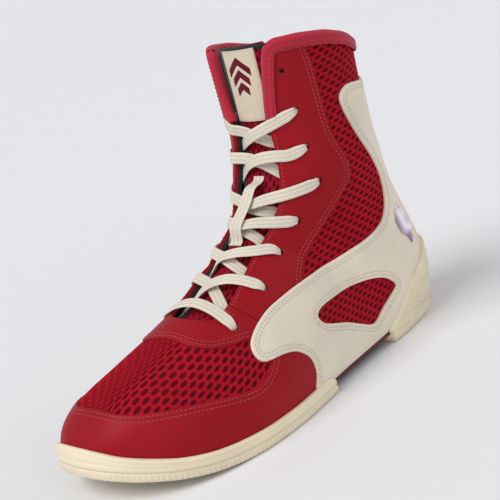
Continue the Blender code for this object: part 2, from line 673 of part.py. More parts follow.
def make_upper(c):
    lining = layer("lining_vamp", "black_lining", LINING, (0, VAMP_END))
    cut(lining, c["facing_edge"])
    mesh = layer("vamp_mesh", "red_mesh", MESH, (0, VAMP_END))
    cut(mesh, c["facing_edge"])
    puff = layer("toe_puff", "board", STIFFENER, (0, 7))
    keep(puff, c["puff"])
    counter = layer("heel_counter", "board", STIFFENER, (12, 26))
    keep(counter, c["counter"])
    rand = layer("toe_rand", "red_skin", SKIN, (0, VAMP_END + 3))
    keep(rand, c["rand"])
    cut(rand, c["overlay_both"])
    band = layer("throat_band", "red_skin", SKIN, (4, VAMP_END))
    keep(band, c["band"])
    cut(band, c["overlay_both"], c["throat"], *c["holes", 1][-1:], *c["holes", -1][-1:])
    for side, tag in ((1, "lateral"), (-1, "medial")):
        quarter = layer("quarter_mesh_" + tag, "red_mesh", MESH, (QUARTER_START, LAST_ROW), side)
        cut(quarter, c["facing_edge"], c["above_collar"])
        inside = layer("lining_" + tag, "black_lining", LINING, (QUARTER_START, LAST_ROW), side)
        cut(inside, c["facing_edge"], c["above_collar"])
        pad = layer("collar_pad_" + tag, "foam", STIFFENER, (20, LAST_ROW), side)
        keep(pad, c["pad", side])
        cut(pad, c["above_collar"])
        stay = layer("eyestay_" + tag, "red_skin", SKIN, (5, LAST_ROW), side)
        keep(stay, c["eyestay", side])
        cut(stay, c["overlay_room", side], c["throat"], c["above_collar"], *c["holes", side][:-1])
        facing = layer("facing_" + tag, "black_lining", FACING, (4, LAST_ROW), side)
        keep(facing, make_facing_region(side, tag))
        cut(facing, c["throat"], c["above_collar"], *c["holes", side])
        overlay = layer("side_overlay_" + tag, "cream_skin", OVERLAY, (6, LAST_ROW), side)
        keep(overlay, c["overlay", side])
        cut(overlay, c["window", side])
        badge = layer("badge_" + tag, "badge", BADGE, (16, 26), side)
        keep(badge, c["badge", side])


def make_facing_region(side, tag):
    """The laced facing fills the strip that the mesh and lining leave free."""
    stations = [(place, width - 0.45) for place, width in FACING_EDGE]
    return ridge_strip("facing_region_" + tag, stations, (-14, 8), across=6, shorter=0.05)


def make_binding():
    """Rolled edge binding: up both front edges and round the collar."""
    half = [(159.5, 15.2), (165, 14.8), (172, 15.4), (180, 16.6), (188, 18.0), (194, 19.2), (198, 21.0),
            (200.5, 24.5), (202, 29.0), (202.3, 36.0)]
    shares = [(0.36, 201.6), (0.45, 198.6), (0.55, 194.6), (0.65, 190.2), (0.75, 186.6), (0.85, 184.0),
              (0.94, 182.6), (1.0, 182.2)]
    spots = []
    for h, across in half:
        row = ridge_row(float(np.interp(h, RIDGE_LINE[:, 1], RIDGE_LINE[:, 0])), h)
        spots.append((row, column_at(row, across)))
    for share, h in shares:
        row = ridge_row(110.8, h)
        spots.append((row, RIDGE_COL + share * (COLUMNS - 1)))
    path = [spot(row, col, -1.7) for row, col in spots]
    out = [outward_at(row, col) for row, col in spots]
    mirror = [spot(row, 2 * RIDGE_COL - col, -1.7) for row, col in spots[-2::-1]]
    out += [outward_at(row, 2 * RIDGE_COL - col) for row, col in spots[-2::-1]]
    path += mirror
    sweep("collar_binding", path, out, [5.8] * len(path), [3.0] * len(path), "crimson_binding")


# ---- tongue ----------------------------------------------------------------------------------------------------
def ridge_at(h):
    return (float(np.interp(h, RIDGE_LINE[:, 1], RIDGE_LINE[:, 0])), h)


def make_tongue():
    low = [((214, 66.7), 20.0), ((200, 71.8), 24.0), ((178, 81), 25.0), ((147, 99.5), 26.0), ((119.5, 124), 26.0),
           (ridge_at(140), 26.0), (ridge_at(TONGUE_FOLD[1] - 0.5), 26.0)]
    top = [(ridge_at(TONGUE_FOLD[1] + 0.5), 26.0), (ridge_at(180), 26.0), (ridge_at(196), 25.0),
           (ridge_at(TONGUE_TOP_H - 2), 23.0), (ridge_at(TONGUE_TOP_H), 19.0)]
    ridge_strip("tongue_lower", low, TONGUE, "red_mesh")
    ridge_strip("tongue_lining_lower", low, TONGUE_LINING, "black_lining")
    ridge_strip("tongue_top", top, TONGUE, "red_mesh")
    ridge_strip("tongue_lining_top", top, TONGUE_LINING, "black_lining")
    label = [(ridge_at(166), 13.0), (ridge_at(184), 13.5), (ridge_at(201), 14.0)]
    ridge_strip("tongue_label", label, TONGUE_LABEL, "cream_skin", across=4)
    fold = bpy.data.objects.new("tongue_fold_axis", None)
    fold.location = to_world((0.0, *TONGUE_FOLD))
    PARTS.objects.link(fold)
    for name in ("tongue_top", "tongue_lining_top", "tongue_label"):
        piece = PARTS.objects[name]
        piece.parent = fold
        piece.matrix_parent_inverse = mathutils.Matrix.Translation(-fold.location)


def make_keeper():
    """Webbing loop stitched to the tongue at both ends, with the laces running beneath it."""
    stops = [((119.3, 124.6), -5.8), ((120.4, 122.6), -5.8), ((121.6, 120.6), -3.2), ((122.8, 118.9), -0.6),
             ((127.4, 113.4), -0.6), ((132, 109.3), -0.6), ((137.2, 105.5), -0.6), ((142.2, 102.3), -0.6),
             ((143.6, 101.5), -3.2), ((145, 100.7), -5.8), ((147.4, 99.3), -5.8)]
    rows = [ridge_row(*place) for place, _ in stops]
    path = [spot(row, RIDGE_COL, offset) for row, (_, offset) in zip(rows, stops)]
    across = [np.array([1.0, 0, 0])] * len(path)
    sweep("lace_keeper", path, across, [9.0] * len(path), [0.9] * len(path), "lace")


# ---- lace ------------------------------------------------------------------------------------------------------
def throat_half(row):
    at = [ridge_row(*place) for place, _ in THROAT]
    return float(np.interp(row, at, [width for _, width in THROAT]))


def fill_in(stops, longest=4.5):
    """The stops with more between them, so that the lace follows the round of the boot."""
    made = [stops[0]]
    for (a, p), (b, q) in zip(stops, stops[1:]):
        count = max(1, math.ceil(abs(b - a) / longest))
        made += [(a + (b - a) * k / count, p + (q - p) * k / count) for k in range(1, count + 1)]
    return made


class Strand:
    """Collects lace stations: where it is, which way its flat lies, and how wide and thick it is there."""

    def __init__(self):
        self.centres, self.sides, self.widths, self.thicks = [], [], [], []

    def add(self, row, across, offset, direction, pinch=0.0):
        col = column_at(row, across if across else 1e-6)
        out = outward_at(row, col)
        flat = np.cross(out, direction)
        flat /= np.linalg.norm(flat)
        if self.sides and np.dot(self.sides[-1], flat) < 0:
            flat = -flat
        self.centres.append(spot(row, col, offset))
        self.sides.append(flat)
        self.widths.append(LACE_WIDTH + (LACE_PINCH - LACE_WIDTH) * pinch)
        self.thicks.append(LACE_THICK + 0.2 * pinch)


def surface_way(a, b):
    """Direction of travel in space between two lace spots on the last."""
    start = spot(a[0], column_at(a[0], a[1]), 0)
    end = spot(b[0], column_at(b[0], b[1]), 0)
    return (end - start) / np.linalg.norm(end - start)


def even_slope(start, end):
    """Row reached at each share of the way across, so that a strand climbs evenly in millimetres."""
    rows = np.linspace(start[0], end[0], 61)
    climbed = [0.0]
    for k in range(60):
        col = column_at(rows[k], start[1] + (end[1] - start[1]) * k / 60 + 1e-6)
        climbed.append(climbed[-1] + float(np.linalg.norm(spot(rows[k + 1], col, 0) - spot(rows[k], col, 0))))
    return lambda t: float(np.interp(t * climbed[-1], climbed, rows))


def crossing(strand, start, end, over, shift):
    """From inside the start hole, under its facing, across the tongue and over the far eyestay into the end hole."""
    side = 1 if start[1] > 0 else -1
    way = surface_way(start, end)
    edge_a = throat_half(start[0] + 0.25 * (end[0] - start[0]))
    edge_b = throat_half(start[0] + 0.75 * (end[0] - start[0]))
    rise = (-3.6, -2.9, -2.75, -2.2, -1.2) if over else (LACE_IN, LACE_IN, -5.65, -5.55, -5.3)
    height = [(abs(start[1]) - 2.2, -5.4), (abs(start[1]) - 4.5, LACE_IN), (edge_a + 4, LACE_IN), (edge_a - 3.0, LACE_IN),
              (0.6 * edge_a, rise[0]), (0.35 * edge_a, rise[1]), (0.0, rise[2]), (-0.35 * edge_b, rise[3]),
              (-0.6 * edge_b, rise[4]), (-edge_b + 3.0, LACE_OUT), (-edge_b - 1.5, LACE_OUT), (-abs(end[1]) + 8, LACE_OUT),
              (-abs(end[1]) + 3.4, LACE_OUT), (-abs(end[1]) + 1.6, 0.75)]
    total = start[1] - end[1]
    climb = even_slope(start, end)
    for at, offset in fill_in(height):
        across = side * at
        t = (start[1] - across) / total
        row = climb(t) + shift * (1 - min(1, abs(across) / 26) ** 2)
        near = max(0.0, 1 - min(abs(start[1] - across), abs(across - end[1])) / 5.0)
        strand.add(row, across, offset, way, near)


def through_hole(strand, hole, way, inward=True):
    """Straight through the layers at a hole."""
    for offset in ((-0.9, -3.6) if inward else (-3.6, -0.9)):
        strand.add(hole[0], hole[1], offset, way, 1.0)


def tail(strand, hole, way):
    """Loose end tucked down inside the boot, lying on the lining."""
    side = 1 if hole[1] > 0 else -1
    for step, drop, offset in ((2.0, 0.1, -5.5), (5.0, 0.3, -6.4), (10.0, 0.6, -7.2), (16.0, 1.0, -8.0), (22.0, 1.3, -9.0)):
        strand.add(hole[0] - drop, hole[1] + side * step, offset, way, 1.0 if step < 4 else 0.0)


def make_lace():
    holes = hole_spots()[:0:-1]
    first = [(holes[0][0], holes[0][1]), (holes[0][0], -holes[0][1])]
    halves = []
    for side in (1, -1):
        strand = Strand()
        here = (holes[0][0], side * holes[0][1])
        bar = surface_way((here[0], -here[1]), here)
        edge = throat_half(here[0])
        stops = [(0.0, 0.75 if edge > 0 else 0.75), (side * 8.0, 0.9), (side * 16.0, LACE_OUT),
                 (side * (abs(here[1]) - 8), LACE_OUT), (side * (abs(here[1]) - 3.4), LACE_OUT),
                 (side * (abs(here[1]) - 1.6), 0.75)]
        for across, offset in fill_in(stops):
            near = max(0.0, 1 - abs(abs(here[1]) - abs(across)) / 5.0)
            strand.add(here[0], across, offset, bar, near)
        for n in range(1, len(holes)):
            goal = (holes[n][0], -np.sign(here[1]) * holes[n][1])
            way = surface_way(here, goal)
            through_hole(strand, here, way)
            over = (n % 2 == 1) == (side == 1)
            crossing(strand, here, goal, over, CROSSING_SHIFT[n - 1])
            here = goal
        way = surface_way((here[0], 0.3 * here[1]), here)
        through_hole(strand, here, way)
        tail(strand, here, way)
        halves.append(strand)
    one, two = halves
    centres = one.centres[::-1] + two.centres[1:]
    widths = one.widths[::-1] + two.widths[1:]
    thicks = one.thicks[::-1] + two.thicks[1:]
    sides = one.sides[::-1] + [s * np.sign(np.dot(one.sides[0], two.sides[0])) for s in two.sides[1:]]
    sweep("lace", centres, sides, widths, thicks, "lace")
    for name, strand in (("aglet_lateral", one), ("aglet_medial", two)):
        end = strand.centres[-1]
        ahead = end - strand.centres[-2]
        ahead /= np.linalg.norm(ahead)
        tube(name, end + 0.4 * ahead, end + 11 * ahead, 1.4, paint="aglet")


clear_scene()
PARTS = bpy.data.collections.new("boxing_boot")
HELPERS = bpy.data.collections.new("cutters")
bpy.context.scene.collection.children.link(PARTS)
bpy.context.scene.collection.children.link(HELPERS)
make_sole()
make_footbed()
make_upper(make_cutters())
make_binding()
make_tongue()
make_keeper()
make_lace()
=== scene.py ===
"""The looks of the boxing boot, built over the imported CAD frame: mesh fabric, leather panels, stitching,
woven lace and rubber sole. World frame as in the CAD: metres, +Z up, toe toward -Y, outer side toward +X.
Shapes are worked out in boot millimetres: w across, l forward from the heel, h up from the floor."""

import math  # noqa: E402

import bpy  # noqa: E402
import numpy as np  # noqa: E402
from mathutils import Matrix, Vector  # noqa: E402


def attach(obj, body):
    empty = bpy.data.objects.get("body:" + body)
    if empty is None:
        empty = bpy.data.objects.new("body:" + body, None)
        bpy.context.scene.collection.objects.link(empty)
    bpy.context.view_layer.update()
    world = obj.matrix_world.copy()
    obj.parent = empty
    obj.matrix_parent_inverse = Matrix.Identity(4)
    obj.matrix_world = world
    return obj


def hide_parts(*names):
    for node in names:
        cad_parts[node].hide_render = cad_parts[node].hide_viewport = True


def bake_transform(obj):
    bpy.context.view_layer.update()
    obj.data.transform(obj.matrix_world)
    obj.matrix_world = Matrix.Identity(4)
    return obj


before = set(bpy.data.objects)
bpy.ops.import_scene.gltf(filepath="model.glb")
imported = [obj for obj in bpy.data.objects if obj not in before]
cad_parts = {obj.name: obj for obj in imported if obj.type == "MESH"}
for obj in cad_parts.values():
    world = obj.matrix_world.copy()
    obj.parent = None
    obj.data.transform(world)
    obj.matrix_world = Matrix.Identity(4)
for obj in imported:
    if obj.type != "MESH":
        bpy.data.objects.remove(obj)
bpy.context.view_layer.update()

# ---- sizes shared with the CAD, in boot millimetres: (l, h) unless said otherwise ----
TOE_L = 285.5
TOP_H = 212.0
PIVOT = (162.0, 124.0)
MID_L = 143.24
MID_W = 0.12
SHAFT_FRONT_L = 110.8
RIDGE = [(285.5, 25.5), (284.6, 29.5), (282, 34), (276, 41.5), (267, 48.3), (253.5, 54.4), (238.5, 59),
         (223, 63.6), (208, 68.7), (193, 74.5), (178, 81), (162.5, 90), (147, 99.5), (135, 107), (126, 114.5),
         (119.5, 124), (114.5, 138), (111.8, 153), (111, 168), (110.8, 190), (110.8, 212)]
FEATHER = [(3.5, 10.5), (20, 10), (60, 8.8), (90, 8.2), (120, 7.6), (150, 7.4), (200, 7.6), (230, 9),
           (250, 12.3), (270, 18.5), (285.5, 25.4)]
# (h, l) of the back, (l, w) of the sole's edges and middle, (h, half width) of the shaft
BACK = [(10.5, 3.5), (20, 0.8), (30, 0), (40, 0.8), (65, 9), (90, 18.3), (110, 22), (135, 23.6), (165, 24.3),
        (212, 22.5)]
OUTER_EDGE = [(3.5, 0), (5.5, 9), (9, 15), (14, 20.5), (22, 25.6), (40, 31), (60, 34.7), (80, 37.4),
              (100, 39.7), (120, 42), (140, 45.3), (160, 48.7), (180, 51.7), (200, 52.3), (220, 50), (240, 45),
              (255, 38), (268, 28), (277, 18), (283, 6), (285.5, -6)]
INNER_EDGE = [(3.5, 0), (5.5, 9), (9, 15), (14, 20.5), (22, 26), (40, 32), (60, 34), (80, 33), (100, 31),
              (120, 31), (140, 34.3), (160, 40.7), (180, 47.2), (200, 51.3), (220, 52), (240, 49.5), (255, 46),
              (268, 40), (277, 33), (283, 23), (285.5, 6)]
CENTRE = [(4, 0), (120, 0), (160, 2), (200, 5), (230, 4), (265, -1), (285.5, -6)]
SHAFT_HALF_WIDTH = [(124, 40.8), (138, 39.8), (168, 40.7), (212, 43.5)]
# the throat's half width at points of the ridge
THROAT = [((201.5, 71.3), 0.0), ((200.0, 71.8), 8.0), ((198.5, 72.4), 13.0), ((195, 73.7), 18.0),
          ((188, 76.6), 20.5), ((178, 81), 21.0), ((162.5, 90), 20.5), ((147, 99.5), 20.5), ((135, 107), 21.0),
          ((126, 114.5), 21.6), ((119.5, 124), 20.1), ((114.5, 138), 18.0), ((112.4, 148), 16.5),
          ((111.6, 157.4), 15.6), ((111, 168), 17.0), ((110.8, 180), 19.2), ((110.8, 190), 21.6),
          ((110.8, 200), 24.6), ((110.8, 212), 27.0)]
SIDE_OVERLAY = [(-20, 158), (35, 161), (58, 164), (66, 163), (70.5, 159), (70, 152), (66, 141), (60, 128),
                (52, 114), (47.5, 103), (48, 91), (53, 80), (61, 73.5), (76, 69.5), (96, 68), (115, 67.5),
                (136, 67), (161, 65), (175, 61), (186, 55.5), (190.5, 50.5), (190.5, 45), (186, 42),
                (173, 40.5), (163, 37), (155, 29), (153.5, 19), (158, 9), (163, -12), (-20, -12)]
OVERLAY_WINDOW = [(57, 33), (63, 39), (72, 43.5), (86, 47), (102, 49), (120, 49.5), (131, 48.5), (135.5, 45),
                  (130, 39), (112, 31.5), (98, 24), (89, 19.5), (82, 19.5), (70, 25), (59, 30)]
TOE_RAND = [(300, -10), (300, 60), (270, 60), (269, 48), (264, 45), (256, 43.5), (244, 41.5), (230, 39),
            (216, 36), (203, 34), (192, 35.5), (184, 40.5), (177, 48), (165, 50), (148, 40), (144, 22),
            (144, -10)]
THROAT_BAND = [(217, 85), (216, 66), (214, 62), (208, 58.5), (198, 56.5), (187, 55), (183, 50), (172, 53),
               (176.2, 61), (182.5, 75), (185, 90)]
EYESTAY_BACK = [(88, 225), (87, 201), (84.5, 184), (83.5, 168), (82, 142), (77.5, 126), (76, 117), (78, 109.5),
                (88, 101.5), (104, 87), (124, 75), (134, 66), (140, 55), (165, 52), (171.5, 53.5), (175.7, 61.3),
                (182, 75.2), (184.3, 90), (186, 100), (150, 140), (150, 225)]
COLLAR_LINE = [(-30, 179), (28, 183), (42, 187.4), (54, 192.8), (72, 198.2), (90, 201.2), (104, 201.8),
               (140, 201.8)]
HEEL_CUP = [(-90, 50), (-20, 47), (0, 46), (12, 43.5), (26, 37), (38, 31), (51, 22.5), (64, 13.5), (72, 10),
            (86, -10), (110, -70), (-90, -70)]
TOE_CUP = [(340, 50), (300, 37), (286, 33), (276, 26.5), (262, 20.5), (250, 16.5), (230, 12.8), (200, 11),
           (160, 10.8), (146, 10.5), (139, 2), (120, -60), (340, -60)]
BADGE_OUTLINE = [(43, 79), (37, 77), (28, 67), (24.5, 56), (28.5, 59.5), (31, 50), (36, 57), (42, 61.5),
                 (45.5, 70)]
HOLES = [(100, 184), (98, 160), (99, 138), (98.5, 116.4), (115, 98), (135, 86), (159, 74), (190, 62.5)]

# ---- sizes of the visual model, in millimetres ----
MEDIAL_OPENING = 6.5  # how much wider the inner front edge stands open at the collar
LACE_HOLE, SPARE_HOLE = 2.3, 1.6
LACE_WIDTH, PINCHED_WIDTH, LACE_THICK = 7.0, 4.3, 1.15
LACE_OUT, LACE_IN = 1.35, -5.75  # the lace's height over the leather and under the facings
UPPER_BOTTOM, MESH_BOTTOM, STAY_BOTTOM = -1.8, -2.1, -1.95
# how far in from a panel's edge its rows of stitches run
OVERLAY_SEAMS, RAND_SEAMS, BAND_SEAMS, STAY_SEAMS = (2.2, 4.1), (1.8, 4.2), (2.0, 4.4), (1.9, 4.2)
FRONT_SEAM = (2.2,)
# the mesh holes' spacing along and across, then their half length and half height
SIDE_NET, TONGUE_NET = (6.6, 3.05, 2.25, 1.02), (6.2, 3.3, 2.3, 1.05)

# ---- colours ----
RED = (0.315, 0.005, 0.011)
RED_MESH = (0.46, 0.0035, 0.016)
CRIMSON = (0.50, 0.010, 0.035)
CREAM = (0.80, 0.72, 0.585)
RUBBER = (0.85, 0.745, 0.545)
LACE_TONE = (0.80, 0.725, 0.60)


# ---- curves ----
def unit(v):
    return v / np.maximum(np.linalg.norm(v, axis=-1, keepdims=True), 1e-12)


def smooth(points, x):
    """Monotone cubic curve through given points, read at x."""
    xs, ys = np.array(sorted(points), float).T
    x = np.clip(x, xs[0], xs[-1])
    step = np.diff(xs)
    slope = np.diff(ys) / step
    tangent = np.concatenate([slope[:1], np.zeros(len(xs) - 2), slope[-1:]])
    for i in range(1, len(xs) - 1):
        if slope[i - 1] * slope[i] > 0:
            a, b = 2 * step[i] + step[i - 1], step[i] + 2 * step[i - 1]
            tangent[i] = (a + b) / (a / slope[i - 1] + b / slope[i])
    i = np.clip(np.searchsorted(xs, x) - 1, 0, len(step) - 1)
    t = (x - xs[i]) / step[i]
    ends = ys[i] * (1 + 2 * t) * (1 - t) ** 2 + ys[i + 1] * t * t * (3 - 2 * t)
    return ends + step[i] * (tangent[i] * t * (1 - t) ** 2 - tangent[i + 1] * t * t * (1 - t))


def ease(x):
    """0 to 1 with level ends."""
    x = np.clip(x, 0, 1)
    return x * x * (3 - 2 * x)


def catmull(a, b, c, d, t):
    """Catmull-Rom value between b and c."""
    return 0.5 * (2 * b + (c - a) * t + (2 * a - 5 * b + 4 * c - d) * t**2 + (3 * b - a - 3 * c + d) * t**3)


def through(points, per_span=8, closed=False):
    """Catmull-Rom polyline through the points."""
    p = np.array(points, float)
    if closed:
        p = np.concatenate([p[-1:], p, p[:2]])
    else:
        p = np.concatenate([[2 * p[0] - p[1]], p, [2 * p[-1] - p[-2]]])
    t = (np.arange(per_span) / per_span)[:, None]
    made = [catmull(*p[k - 1:k + 3], t) for k in range(1, len(p) - 2)]
    return np.concatenate(made if closed else made + [p[-2:-1]])


def evened(values, times=1):
    """Smooths along the first axis; both ends stay."""
    for _ in range(times):
        values = values.copy()
        values[1:-1] = 0.25 * values[:-2] + 0.5 * values[1:-1] + 0.25 * values[2:]
    return values


def length_along(line):
    """Distance from the first point to each point of a polyline."""
    return np.concatenate([[0], np.cumsum(np.linalg.norm(np.diff(line, axis=0), axis=1))])


def first_hit(line, origin, direction, last=False):
    """Where a ray in the side view meets a polyline."""
    start, end = line[:-1] - origin, line[1:] - origin
    across = np.array([-direction[1], direction[0]])
    a, b = start @ across, end @ across
    found = []
    for i in np.where(a * b <= 0)[0]:
        t = a[i] / (a[i] - b[i]) if a[i] != b[i] else 0.0
        point = start[i] + t * (end[i] - start[i])
        if point @ direction > 0:
            found.append((float(point @ direction), point + origin))
    found.sort(key=lambda item: item[0])
    return found[-1 if last else 0][1]


# ---- the last surface ----
VAMP_ROWS, FAN_ROWS, HEEL_ROWS, SHAFT_ROWS, HALF = 120, 80, 56, 56, 56
CORNER_ROW = VAMP_ROWS + FAN_ROWS
RIDGE_LINE = through(RIDGE)
BACK_H = np.linspace(BACK[0][0], TOP_H, 200)
FOOT_L = np.linspace(TOE_L, FEATHER[0][0], 300)
LOWER_LINE = np.concatenate([np.stack([FOOT_L, smooth(FEATHER, FOOT_L)], 1),
                             np.stack([smooth(BACK, BACK_H), BACK_H], 1)])


def ridge_at(h):
    """How far forward the ridge stands at a height of the shaft."""
    return float(np.interp(h, RIDGE_LINE[:, 1], RIDGE_LINE[:, 0]))


def half_section(half_width, end_width, widest, top_power, low_power):
    """Share of the way down and width, from the ridge to the widest place and on to the lower end."""
    share = widest * (1 - np.cos(np.linspace(0, math.pi / 2, 60)))
    width = half_width * (1 - (1 - share / widest) ** top_power) ** (1 / top_power)
    s = np.sin(np.linspace(0, 1, 60)[1:] * math.pi / 2)
    low_width = end_width + (half_width - end_width) * np.clip(1 - s**low_power, 0, 1) ** (1 / low_power)
    return np.concatenate([share, widest + (1 - widest) * s]), np.concatenate([width, low_width])


def make_rows():
    """(ridge point, lower point, kind, value) of each section: vamp, fan round the pivot, heel and shaft."""
    rows = []
    for k in range(VAMP_ROWS + 1):
        at = TOE_L - (TOE_L - PIVOT[0]) * (1 - math.cos(k / VAMP_ROWS * math.pi / 2))
        ridge = (at, float(np.interp(-at, -RIDGE_LINE[:, 0], RIDGE_LINE[:, 1])))
        rows.append((ridge, (at, float(smooth(FEATHER, at))), "upright", (TOE_L - at) / (TOE_L - PIVOT[0])))
    corner = math.degrees(math.atan2(PIVOT[0] - FEATHER[0][0], PIVOT[1] - FEATHER[0][1]))
    turns = [np.linspace(0, corner, FAN_ROWS + 1)[1:], np.linspace(corner, 90, HEEL_ROWS)[1:-1]]
    for angle in np.concatenate(turns):
        turn = math.radians(angle)
        direction = np.array([-math.sin(turn), -math.cos(turn)])
        ridge = first_hit(RIDGE_LINE, PIVOT, direction)
        end = first_hit(LOWER_LINE, PIVOT, direction, last=True)
        rows.append((tuple(ridge), tuple(end), "fan" if angle < corner - 1e-6 else "heel", angle / 90))
    for h in np.linspace(PIVOT[1], TOP_H, SHAFT_ROWS):
        rows.append(((ridge_at(h), h), (float(smooth(BACK, h)), h), "level", h))
    return rows


def side_of_row(row, side):
    ridge, end, kind, value = row
    edge = OUTER_EDGE if side > 0 else INNER_EDGE
    end_width = float(smooth(edge, end[0])) - side * float(smooth(CENTRE, end[0]))
    if kind == "upright":
        bulge = 1.5 * min(1, math.dist(ridge, end) / 30)
        return half_section(end_width + bulge, end_width, 0.8, 2.3 - 0.55 * min(1, value * 1.3), 2.2)
    if kind == "fan":
        return half_section(max(end_width + 1.5, 37), end_width, 0.8 - 0.25 * min(1, value * 1.5),
                            1.75 + 0.585 * value, 2.2)
    if kind == "heel":
        mixed = (value * 90 - 54.4) / 35.6
        return half_section(37.0 + 3.8 * mixed, 0, 0.55 - 0.05 * mixed, 2.1, 2.2)
    return half_section(float(smooth(SHAFT_HALF_WIDTH, value)), 0, 0.5, 2.1, 2.1)


def point_row(row):
    """Evenly spaced points of one section, from the inner side's end over the ridge to the outer side's."""
    ridge, end = np.array(row[0], float), np.array(row[1], float)
    centre = float(smooth(CENTRE, end[0]))
    if row[2] == "upright" and row[3] == 0:  # the toe's tip
        return np.tile([centre, end[0], 0.5 * (end[1] + ridge[1])], (2 * HALF + 1, 1))
    halves = []
    for side in (-1, 1):
        share, width = side_of_row(row, side)
        reach = math.dist(ridge, end)
        span = np.concatenate([[0], np.cumsum(np.hypot(np.diff(share) * reach, np.diff(width)))])
        at = np.linspace(0, span[-1], HALF + 1)
        share, width = np.interp(at, span, share), np.interp(at, span, width)
        halves.append(np.column_stack([centre + side * width, ridge + (end - ridge) * share[:, None]]))
    return np.concatenate([halves[0][::-1], halves[1][1:]])


BASE = np.array([point_row(row) for row in make_rows()])
BASE[99:] = evened(BASE[99:], 10)


def finer(grid, times):
    """Catmull-Rom refinement of a grid along its first two axes."""
    for axis in (0, 1):
        g = np.swapaxes(grid, 0, axis)
        p = np.concatenate([2 * g[:1] - g[1:2], g, 2 * g[-1:] - g[-2:-1]])
        parts = [catmull(p[:-3], p[1:-2], p[2:-1], p[3:], k / times) for k in range(times)]
        out = np.stack(parts, 1).reshape((-1,) + g.shape[1:])
        grid = np.swapaxes(np.concatenate([out, g[-1:]]), 0, axis)
    return grid


class Grid:
    """The last at one fineness: points, outward directions, distances round from the ridge and along it."""

    def __init__(self, times):
        self.p = finer(BASE, times) if times > 1 else BASE
        self.mid = mid = HALF * times
        n = np.cross(np.gradient(self.p, axis=1), np.gradient(self.p, axis=0))
        n[0] = n[1]
        n = unit(n)
        row = len(n) * 2 // 3
        self.n = n * np.sign(np.dot(n[row, mid], self.p[row, mid] - np.array([0, 60, 60])))
        step = np.linalg.norm(np.diff(self.p, axis=1), axis=2)
        self.arc = np.zeros(self.p.shape[:2])
        self.arc[:, mid + 1:] = np.cumsum(step[:, mid:], axis=1)
        self.arc[:, :mid] = -np.cumsum(step[:, :mid][:, ::-1], axis=1)[:, ::-1]
        self.run = length_along(self.p[:, mid])
        self.along = np.repeat(self.run[:, None], self.p.shape[1], 1)
        self.sides = (("lateral", (mid, 2 * mid + 1)), ("medial", (0, mid + 1)))


G1, G2, G3 = Grid(1), Grid(2), Grid(3)


def run_at(l, h):
    """Distance along the ridge, from the toe, of the ridge point nearest to (l, h)."""
    d = np.hypot(G2.p[:, G2.mid, 1] - l, G2.p[:, G2.mid, 2] - h)
    i = int(np.clip(np.argmin(d), 1, len(d) - 2))
    a, b = G2.p[i - 1, G2.mid, 1:], G2.p[i + 1, G2.mid, 1:]
    t = np.clip(np.dot([l - a[0], h - a[1]], b - a) / np.dot(b - a, b - a), 0, 1)
    return float(G2.run[i - 1] + t * (G2.run[i + 1] - G2.run[i - 1]))


def spot(run, arc, offset=0.0):
    """Point and outward direction at a distance along the ridge and round from it (arrays allowed)."""
    run, arc, offset = (np.atleast_1d(np.asarray(v, float)) for v in (run, arc, offset))
    row = np.interp(run, G1.run, np.arange(len(G1.run)))
    i = np.clip(row.astype(int), 1, len(G1.run) - 2)
    u = row - i
    edge = np.where(arc > 0, 2 * HALF, 0)
    step = np.abs(G1.arc[i, edge] * (1 - u) + G1.arc[i + 1, edge] * u) / HALF
    col = np.clip(HALF + arc / step, 0, 2 * HALF - 1e-6)
    j = col.astype(int)
    v = col - j
    p, n = 0, 0
    for a, b, share in ((i, j, (1 - u) * (1 - v)), (i, j + 1, (1 - u) * v), (i + 1, j, u * (1 - v)),
                        (i + 1, j + 1, u * v)):
        p = p + G1.p[a, b] * share[:, None]
        n = n + G1.n[a, b] * share[:, None]
    n = unit(n)
    return p + n * offset[:, None], n


def locate(l, h):
    """(run, arc) of a side-view point on the outer side."""
    d = np.hypot(G2.p[:, G2.mid:, 1] - l, G2.p[:, G2.mid:, 2] - h)
    i, j = np.unravel_index(np.argmin(d), d.shape)
    return float(G2.run[i]), float(G2.arc[i, j + G2.mid])


# ---- distances to the panels' outlines ----
def outline_distance(grid, outline, sharp=False):
    """Distance inside (+) or outside (-) a side-view outline, in millimetres along the surface."""
    line = np.array(outline, float) if sharp else through(outline, 4, closed=True)
    x, y = grid.p[..., 1].astype(np.float32), grid.p[..., 2].astype(np.float32)
    best = np.full(x.shape, 1e9, np.float32)
    gx, gy = np.zeros_like(x), np.zeros_like(x)
    inside = np.zeros(x.shape, bool)
    for (ax, ay), (bx, by) in zip(line, np.roll(line, -1, axis=0)):
        dx, dy = bx - ax, by - ay
        size = dx * dx + dy * dy
        if size < 1e-9:
            continue
        t = np.clip(((x - ax) * dx + (y - ay) * dy) / size, 0, 1)
        ex, ey = x - (ax + t * dx), y - (ay + t * dy)
        d = ex * ex + ey * ey
        near = d < best
        best, gx, gy = np.where(near, d, best), np.where(near, ex, gx), np.where(near, ey, gy)
        if dy:
            inside ^= ((ay > y) != (by > y)) & (x < ax + (y - ay) * dx / dy)
    d = np.sqrt(best)
    size = np.maximum(d, 1e-6)
    lean = (gx / size) * grid.n[..., 1] + (gy / size) * grid.n[..., 2]
    stretch = np.sqrt(np.clip(1 - lean * lean, 0.12, 1))
    return np.where(inside, 1, -1) * d / stretch


THROAT_RUN = [run_at(*place) for place, _ in THROAT]
THROAT_WIDTH = [width for _, width in THROAT]
OPEN_FROM = run_at(112.4, 148)


def throat_half(run, arc=1.0):
    """Half width of the throat; near the collar the inner edge stands wider open than the outer one."""
    wide = ease((np.asarray(run, float) - OPEN_FROM) / 22)
    wider = np.where(np.asarray(arc) < 0, MEDIAL_OPENING, 0.0) * wide
    return np.interp(run, THROAT_RUN, THROAT_WIDTH) + wider


